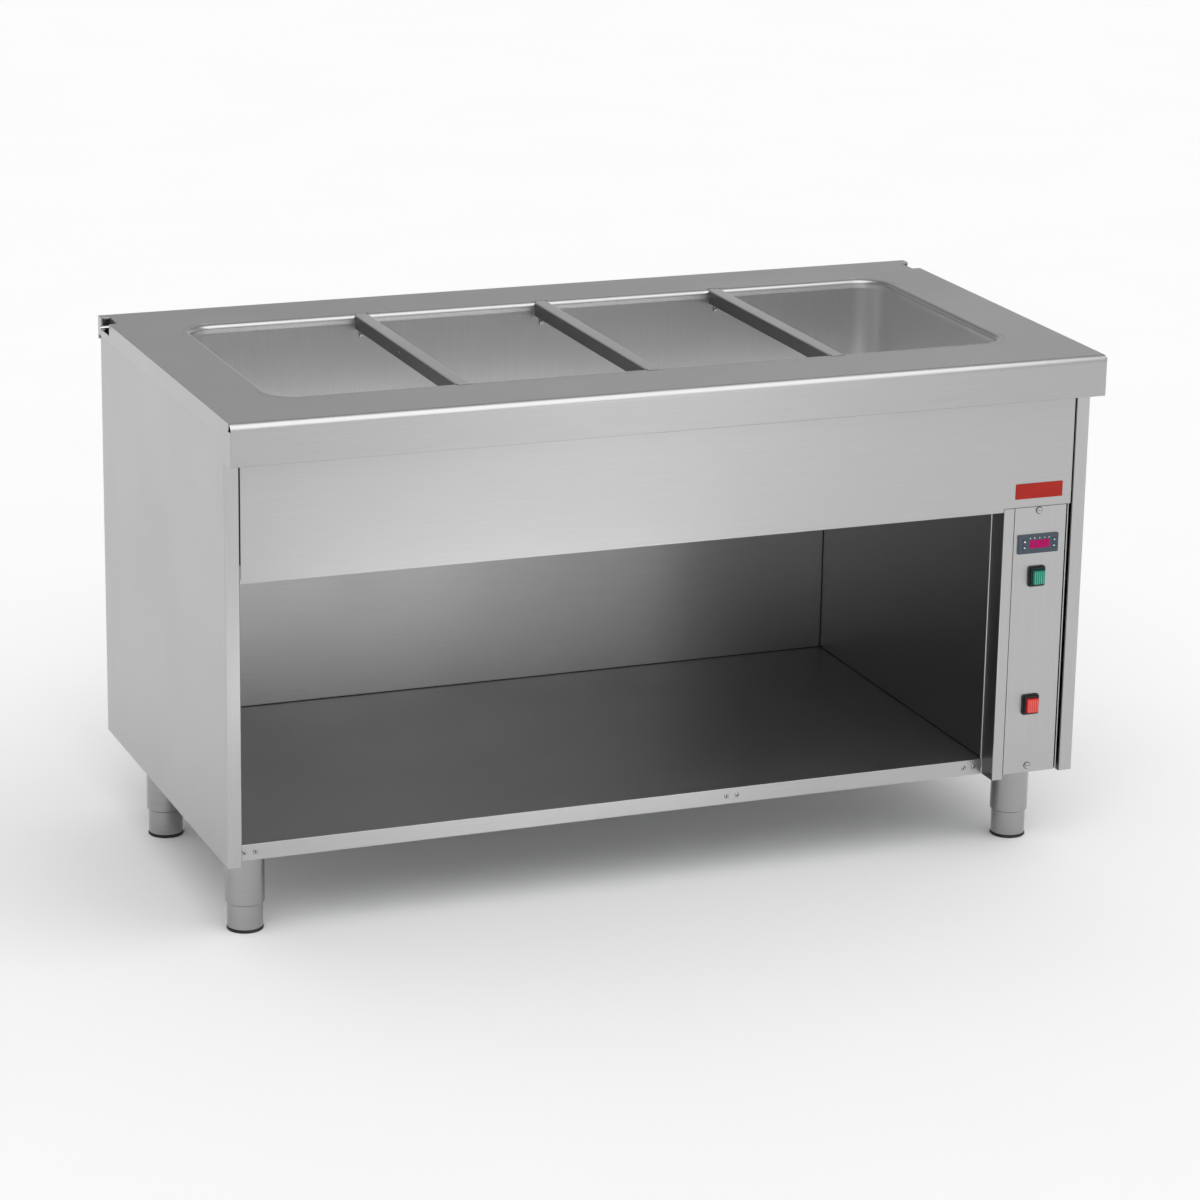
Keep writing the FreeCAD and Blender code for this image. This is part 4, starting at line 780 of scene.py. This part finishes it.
def rib_tree():
    """Upright half-round ribs with rounded ends."""
    tree, inputs = node_tree("Rocker ribs", Radius=1 * MM, Length=18 * MM, Lens=None)
    half = scaled(tree, inputs["Length"], 0.5)
    top = add_node(tree, "ShaderNodeCombineXYZ", {"Z": half})
    foot = add_node(tree, "ShaderNodeCombineXYZ", {"Z": scaled(tree, half, -1)})
    line = add_node(tree, "GeometryNodeCurvePrimitiveLine",
                    {"Start": foot.outputs[0], "End": top.outputs[0]})
    section = add_node(tree, "GeometryNodeCurvePrimitiveCircle",
                       {"Resolution": 16, "Radius": inputs["Radius"]})
    rod = add_node(tree, "GeometryNodeCurveToMesh",
                   {"Curve": line.outputs[0], "Profile Curve": section.outputs[0],
                    "Fill Caps": True})
    soft = add_node(tree, "GeometryNodeSetShadeSmooth", {"Geometry": rod.outputs[0]})
    place_copies(tree, inputs["Points"], painted(tree, soft.outputs[0], inputs["Lens"]),
                 (0, 0, 0))
    return tree


class COUNTER_OT_thermostat(bpy.types.Operator):
    """Digital thermostat with its window, keys and printed signs, and the blank plate."""

    bl_idname = "counter.thermostat"
    bl_label = "Thermostat and plate"

    def execute(self, context):
        dress("controller_case", "slate ABS, case", 0.9 * MM)
        dress("display_window", "crimson polycarbonate", 0.3 * MM)
        dress("name_plate", "red enamel", 0.4 * MM)
        low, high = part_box("display_window")
        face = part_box("controller_case")[0].y
        width, rise, proud = high.x - low.x, 3.2 * MM, 0.05 * MM
        points = [(low.x + width * share, face - proud, high.z + rise)
                  for share in (0.03, 0.25, 0.5, 0.75, 0.97)]
        seat(grown("indicator_marks", mark_tree(), points,
                   {"Radius": 0.95 * MM, "Rise": 0.2 * MM, "Finish": finish("white print")}),
             "root", "case_slate")
        # Corners of the keys' signs, in halves of a sign's width and height
        signs = {
            1: [(-1, -1), (1, -1), (1, 1), (-1, 1)],
            2: [(-1.1, -0.8), (1.1, -0.8), (0, 1)],
            3: [(-1.1, 0.8), (0, -1), (1.1, 0.8)],
            4: [(-1, -1), (1.1, 0), (-1, 1)],
        }
        half_width, half_height = 1.5 * MM, 1.3 * MM
        for number, outline in signs.items():
            node, body = f"controller_key_{number}", f"key_{number}"
            dress(node, "slate ABS, key", 0.5 * MM, body)
            low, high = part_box(node)
            middle = (low + high) / 2
            corners = [(middle.x + x * half_width, middle.z + z * half_height)
                       for x, z in outline]
            seat(flat_shape(f"key_sign_{number}", corners, low.y, 0.08 * MM, "white print"),
                 body, "key_slate")
        return {"FINISHED"}


def shade_ring_round_screw(title, radius, place):
    """Dark ring of black rubber round a screw head on an upright face, painted shade at the head's
    rim.
    """
    thick, wide = 0.5 * MM, 1.0 * MM
    rings = [(radius - wide, 0), (radius + wide, 0), (radius + wide, thick / 2),
             (radius + wide / 2, thick), (radius - wide, thick)]
    piece = lathe(title, rings, "black rubber", steps=48)
    piece.data.transform(Matrix.Translation(place) @ Matrix.Rotation(math.pi / 2, 4, "X"))
    return piece


class COUNTER_OT_switches(bpy.types.Operator):
    """Two lit rocker switches in their black housings, with ribbed lenses."""

    bl_idname = "counter.switches"
    bl_label = "Switches"

    def execute(self, context):
        controls = context.scene.counter_controls
        tree = rib_tree()
        for colour in ("green", "red"):
            dress(f"switch_housing_{colour}", "black ABS", 0.6 * MM)
            rocker = f"rocker_{colour}"
            dress(rocker, f"{colour} polycarbonate, lit", 0.8 * MM, rocker)
            low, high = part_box(rocker)
            middle = (low + high) / 2
            # The ribs stand out of the face by seven tenths of their radius
            depth = low.y + controls.rib_radius * 0.3
            points = [(middle.x + controls.rib_pitch * step, depth, middle.z)
                      for step in (-2, -1, 0, 1, 2)]
            ribs = grown(f"rocker_ribs_{colour}", tree, points,
                         {"Radius": controls.rib_radius, "Length": (high.z - low.z) * 0.86,
                          "Lens": finish(f"{colour} polycarbonate, rib")})
            seat(ribs, rocker, rocker)
        dress("cover_screws", "zinc-plated steel", 0.5 * MM)
        low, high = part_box("cover_screws")
        radius = (high.x - low.x) / 2
        # Each screw head gets a dark ring, painted shade at its rim
        for title, height in (("bottom", low.z + radius), ("top", high.z - radius)):
            place = (low.x + radius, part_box("control_cover")[0].y, height)
            seat(shade_ring_round_screw(f"screw_shade_ring_{title}", radius, place), "root", "bolt_steel")
        return {"FINISHED"}


class COUNTER_OT_gear(bpy.types.Operator):
    """Electrical gear in the technical column."""

    bl_idname = "counter.gear"
    bl_label = "Electrical gear"

    def execute(self, context):
        finishes = {"terminal_block": "grey polyamide", "contactor": "grey polyamide",
                    "safety_thermostat": "black ABS", "cable_gland": "black ABS"}
        for node, material in finishes.items():
            dress(node, material, 0.7 * MM)
        return {"FINISHED"}


class COUNTER_OT_legs(bpy.types.Operator):
    """Tube legs, levelling feet and their pads."""

    bl_idname = "counter.legs"
    bl_label = "Legs"

    def execute(self, context):
        dress("leg_sleeves", "drawn steel tube, leg", 0.4 * MM)
        dress("leg_bolts", "zinc-plated steel", 0.4 * MM)
        wall, base, chamfer, shoulder, lip = 3 * MM, 8 * MM, 0.6 * MM, 2 * MM, 1 * MM
        quarter = [math.pi / 2 * i / 6 for i in range(7)]
        for corner in ("front_left", "front_right", "rear_left", "rear_right"):
            body = f"foot_{corner}"
            low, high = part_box(f"leg_foot_{corner}")
            middle = ((low.x + high.x) / 2, (low.y + high.y) / 2, 0)
            outer = (high.x - low.x) / 2
            inner, inside = outer - wall, low.z + base
            rings = [(0, low.z), (outer - chamfer, low.z), (outer, low.z + chamfer),
                     (outer, high.z - shoulder), (outer - shoulder, high.z), (inner, high.z),
                     (inner, inside), (0, inside)]
            seat(lathe(f"foot_tube_{corner}", rings, "turned steel, foot", middle), body,
                 "leg_stainless", f"leg_foot_{corner}")
            low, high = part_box(f"foot_pad_{corner}")
            outer = (high.x - low.x) / 2
            edge = [(outer - shoulder + shoulder * math.sin(a),
                     high.z - shoulder + shoulder * math.cos(a)) for a in quarter]
            rings = [(0, high.z)] + edge + [(outer, lip), (outer - lip, 0), (0, 0)]
            seat(lathe(f"foot_tread_{corner}", rings, "black rubber", middle), body,
                 "pad_rubber", f"foot_pad_{corner}")
        return {"FINISHED"}


# Stage


def studio_world(ceiling, dim_side):
    """White backdrop that fades to grey overhead and to the left, and even light on the object."""
    world = bpy.data.worlds.new("studio")
    world.use_nodes = True
    tree = world.node_tree
    tree.nodes.clear()
    way = add_node(tree, "ShaderNodeTexCoord").outputs["Generated"]
    heading = add_node(tree, "ShaderNodeSeparateXYZ", {0: way})
    # Z is 0 for a level ray and 0.55 for one that climbs by 33 degrees
    fade = add_node(tree, "ShaderNodeMapRange",
                    {"Value": heading.outputs["Z"], 1: 0.0, 2: 0.55, 3: 1.0, 4: ceiling},
                    interpolation_type="SMOOTHSTEP")
    sideways = add_node(tree, "ShaderNodeMapRange",
                        {"Value": heading.outputs["X"], 1: -0.3, 2: 0.8, 3: dim_side, 4: 1.0},
                        interpolation_type="SMOOTHSTEP")
    shade = add_node(tree, "ShaderNodeMath", {0: fade.outputs[0], 1: sideways.outputs[0]},
                     operation="MULTIPLY")
    backdrop = add_node(tree, "ShaderNodeBackground",
                        {"Color": (1, 1, 1, 1), "Strength": shade.outputs[0]})
    light = add_node(tree, "ShaderNodeBackground",
                     {"Color": (1, 1, 1, 1), "Strength": EVEN_LIGHT})
    path = add_node(tree, "ShaderNodeLightPath")
    seen = add_node(tree, "ShaderNodeMath", {0: path.outputs["Is Camera Ray"],
                                             1: path.outputs["Is Glossy Ray"]},
                    operation="MAXIMUM")
    seen = add_node(tree, "ShaderNodeMath", {0: seen.outputs[0],
                                             1: path.outputs["Is Transmission Ray"]},
                    operation="MAXIMUM")
    mix = add_node(tree, "ShaderNodeMixShader",
                   {0: seen.outputs[0], 1: light.outputs[0], 2: backdrop.outputs[0]})
    add_node(tree, "ShaderNodeOutputWorld", {"Surface": mix.outputs[0]})
    return world


def pale_floor():
    """Matt white painted floor, 60 m wide."""
    material, tree, place = empty_material("matt white floor")
    white, half = (0.98, 0.98, 0.98, 1), 30
    mottle = add_node(tree, "ShaderNodeTexNoise", {"Vector": place, "Scale": 2.0, "Detail": 2.0})
    tone = add_node(tree, "ShaderNodeMapRange",
                    {"Value": mottle.outputs[0], 1: NOISE_SPAN[0], 2: NOISE_SPAN[1], 3: 0.99,
                     4: 1.0})
    tint = add_node(tree, "ShaderNodeHueSaturation", {"Color": white, "Value": tone.outputs[0]})
    shader = add_node(tree, "ShaderNodeBsdfDiffuse", {"Color": tint.outputs[0]})
    finish_material(material, shader, white)
    mesh = bpy.data.meshes.new("floor")
    mesh.from_pydata([(-half, -half, 0), (half, -half, 0), (half, half, 0), (-half, half, 0)], [],
                     [(0, 1, 2, 3)])
    mesh.materials.append(material)
    floor = bpy.data.objects.new("floor", mesh)
    bpy.context.scene.collection.objects.link(floor)


def hang_lamp(title, data, place, towards):
    """Put a lamp in the scene and turn it."""
    lamp = bpy.data.objects.new(title, data)
    lamp.location = place
    lamp.rotation_mode = "QUATERNION"
    lamp.rotation_quaternion = Vector(towards).to_track_quat("-Z", "Y")
    bpy.context.scene.collection.objects.link(lamp)
    return lamp


def add_sun(title, strength, angle, towards):
    """Soft, distant light, the same all over the floor. Metal shows the panels instead."""
    data = bpy.data.lights.new(title, "SUN")
    data.energy = strength
    data.angle = math.radians(angle)
    hang_lamp(title, data, (0, 0, 3), towards).visible_glossy = False


def add_panel(title, brightness, size, place, aim, shape="RECTANGLE"):
    """A light panel that metal and gloss reflect, where the white backdrop is 1.

    An oval one leaves a soft-edged band where the sheet draws its reflection out.
    """
    data = bpy.data.lights.new(title, "AREA")
    data.shape = shape
    data.size, data.size_y = size
    area = size[0] * size[1] * (math.pi / 4 if shape == "ELLIPSE" else 1)
    data.energy = brightness * math.pi * area
    lamp = hang_lamp(title, data, place, Vector(aim) - Vector(place))
    lamp.visible_diffuse = False
    lamp.visible_camera = False


def camera_matrix(stage):
    """The camera's place and axes from its yaw, pitch and roll."""
    ahead = Vector((math.sin(stage.yaw) * math.cos(stage.pitch),
                    math.cos(stage.yaw) * math.cos(stage.pitch), -math.sin(stage.pitch)))
    right = Vector((math.cos(stage.yaw), -math.sin(stage.yaw), 0))
    up = right.cross(ahead)
    lean_right = right * math.cos(stage.roll) + up * math.sin(stage.roll)
    lean_up = up * math.cos(stage.roll) - right * math.sin(stage.roll)
    turn = Matrix((lean_right, lean_up, -ahead)).transposed().to_4x4()
    return Matrix.Translation(stage.place) @ turn


class COUNTER_OT_stage(bpy.types.Operator):
    """Camera, floor, backdrop and lamps."""

    bl_idname = "counter.stage"
    bl_label = "Stage"

    def execute(self, context):
        scene = context.scene
        stage = scene.counter_stage
        data = bpy.data.cameras.new("camera")
        data.lens = stage.lens
        data.sensor_width = 36
        data.clip_end = 200
        data.dof.use_dof = False
        camera = bpy.data.objects.new("camera", data)
        camera.matrix_world = camera_matrix(stage)
        scene.collection.objects.link(camera)
        scene.camera = camera
        scene.world = studio_world(stage.ceiling, stage.dim_side)
        scene.view_settings.view_transform = "Standard"
        pale_floor()
        add_sun("key", strength=0.8, angle=40, towards=(0.35, 0.75, -0.9))
        add_sun("fill", strength=0.5, angle=60, towards=(-0.6, 0.5, -0.8))
        add_panel("overhead panel", brightness=1.85, size=(3.5, 4.4), place=(0.45, -2.0, 3.2),
                  aim=(0.45, -1.4, 0.8))
        add_panel("front panel", brightness=0.9, size=(0.9, 1.0), place=(0.95, -3.0, 0.7),
                  aim=(0.1, 0, 0.5), shape="ELLIPSE")
        add_panel("low panel", brightness=1.1, size=(0.9, 0.32), place=(0.0, -1.0, 0.17),
                  aim=(-0.45, 0.36, 0.45), shape="ELLIPSE")
        return {"FINISHED"}


# Panel and registration

STEPS = (
    COUNTER_OT_stage,
    COUNTER_OT_deck,
    COUNTER_OT_well,
    COUNTER_OT_bars,
    COUNTER_OT_carcass,
    COUNTER_OT_rivets,
    COUNTER_OT_thermostat,
    COUNTER_OT_switches,
    COUNTER_OT_gear,
    COUNTER_OT_legs,
)


class COUNTER_PT_panel(bpy.types.Panel):
    """Settings and steps of the bain-marie counter."""

    bl_idname = "COUNTER_PT_panel"
    bl_label = "Bain-marie counter"
    bl_space_type = "VIEW_3D"
    bl_region_type = "UI"
    bl_category = "Counter"

    def draw(self, context):
        layout = self.layout
        for group in (context.scene.counter_steel, context.scene.counter_controls,
                      context.scene.counter_stage):
            box = layout.box()
            for name in type(group).__annotations__:
                box.prop(group, name)
        for step in STEPS:
            layout.operator(step.bl_idname)


CLASSES = (CounterSteel, CounterControls, CounterStage, *STEPS, COUNTER_PT_panel)


def register():
    """Register the classes and hang the settings on the scene."""
    for item in CLASSES:
        bpy.utils.register_class(item)
    bpy.types.Scene.counter_steel = bpy.props.PointerProperty(type=CounterSteel)
    bpy.types.Scene.counter_controls = bpy.props.PointerProperty(type=CounterControls)
    bpy.types.Scene.counter_stage = bpy.props.PointerProperty(type=CounterStage)


def unregister():
    """Take the settings and the classes away again."""
    del bpy.types.Scene.counter_stage
    del bpy.types.Scene.counter_controls
    del bpy.types.Scene.counter_steel
    for item in reversed(CLASSES):
        bpy.utils.unregister_class(item)


def main():
    """Run every step."""
    register()
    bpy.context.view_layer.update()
    for step in STEPS:
        group, name = step.bl_idname.split(".")
        getattr(getattr(bpy.ops, group), name)()


if __name__ == "__main__":
    main()
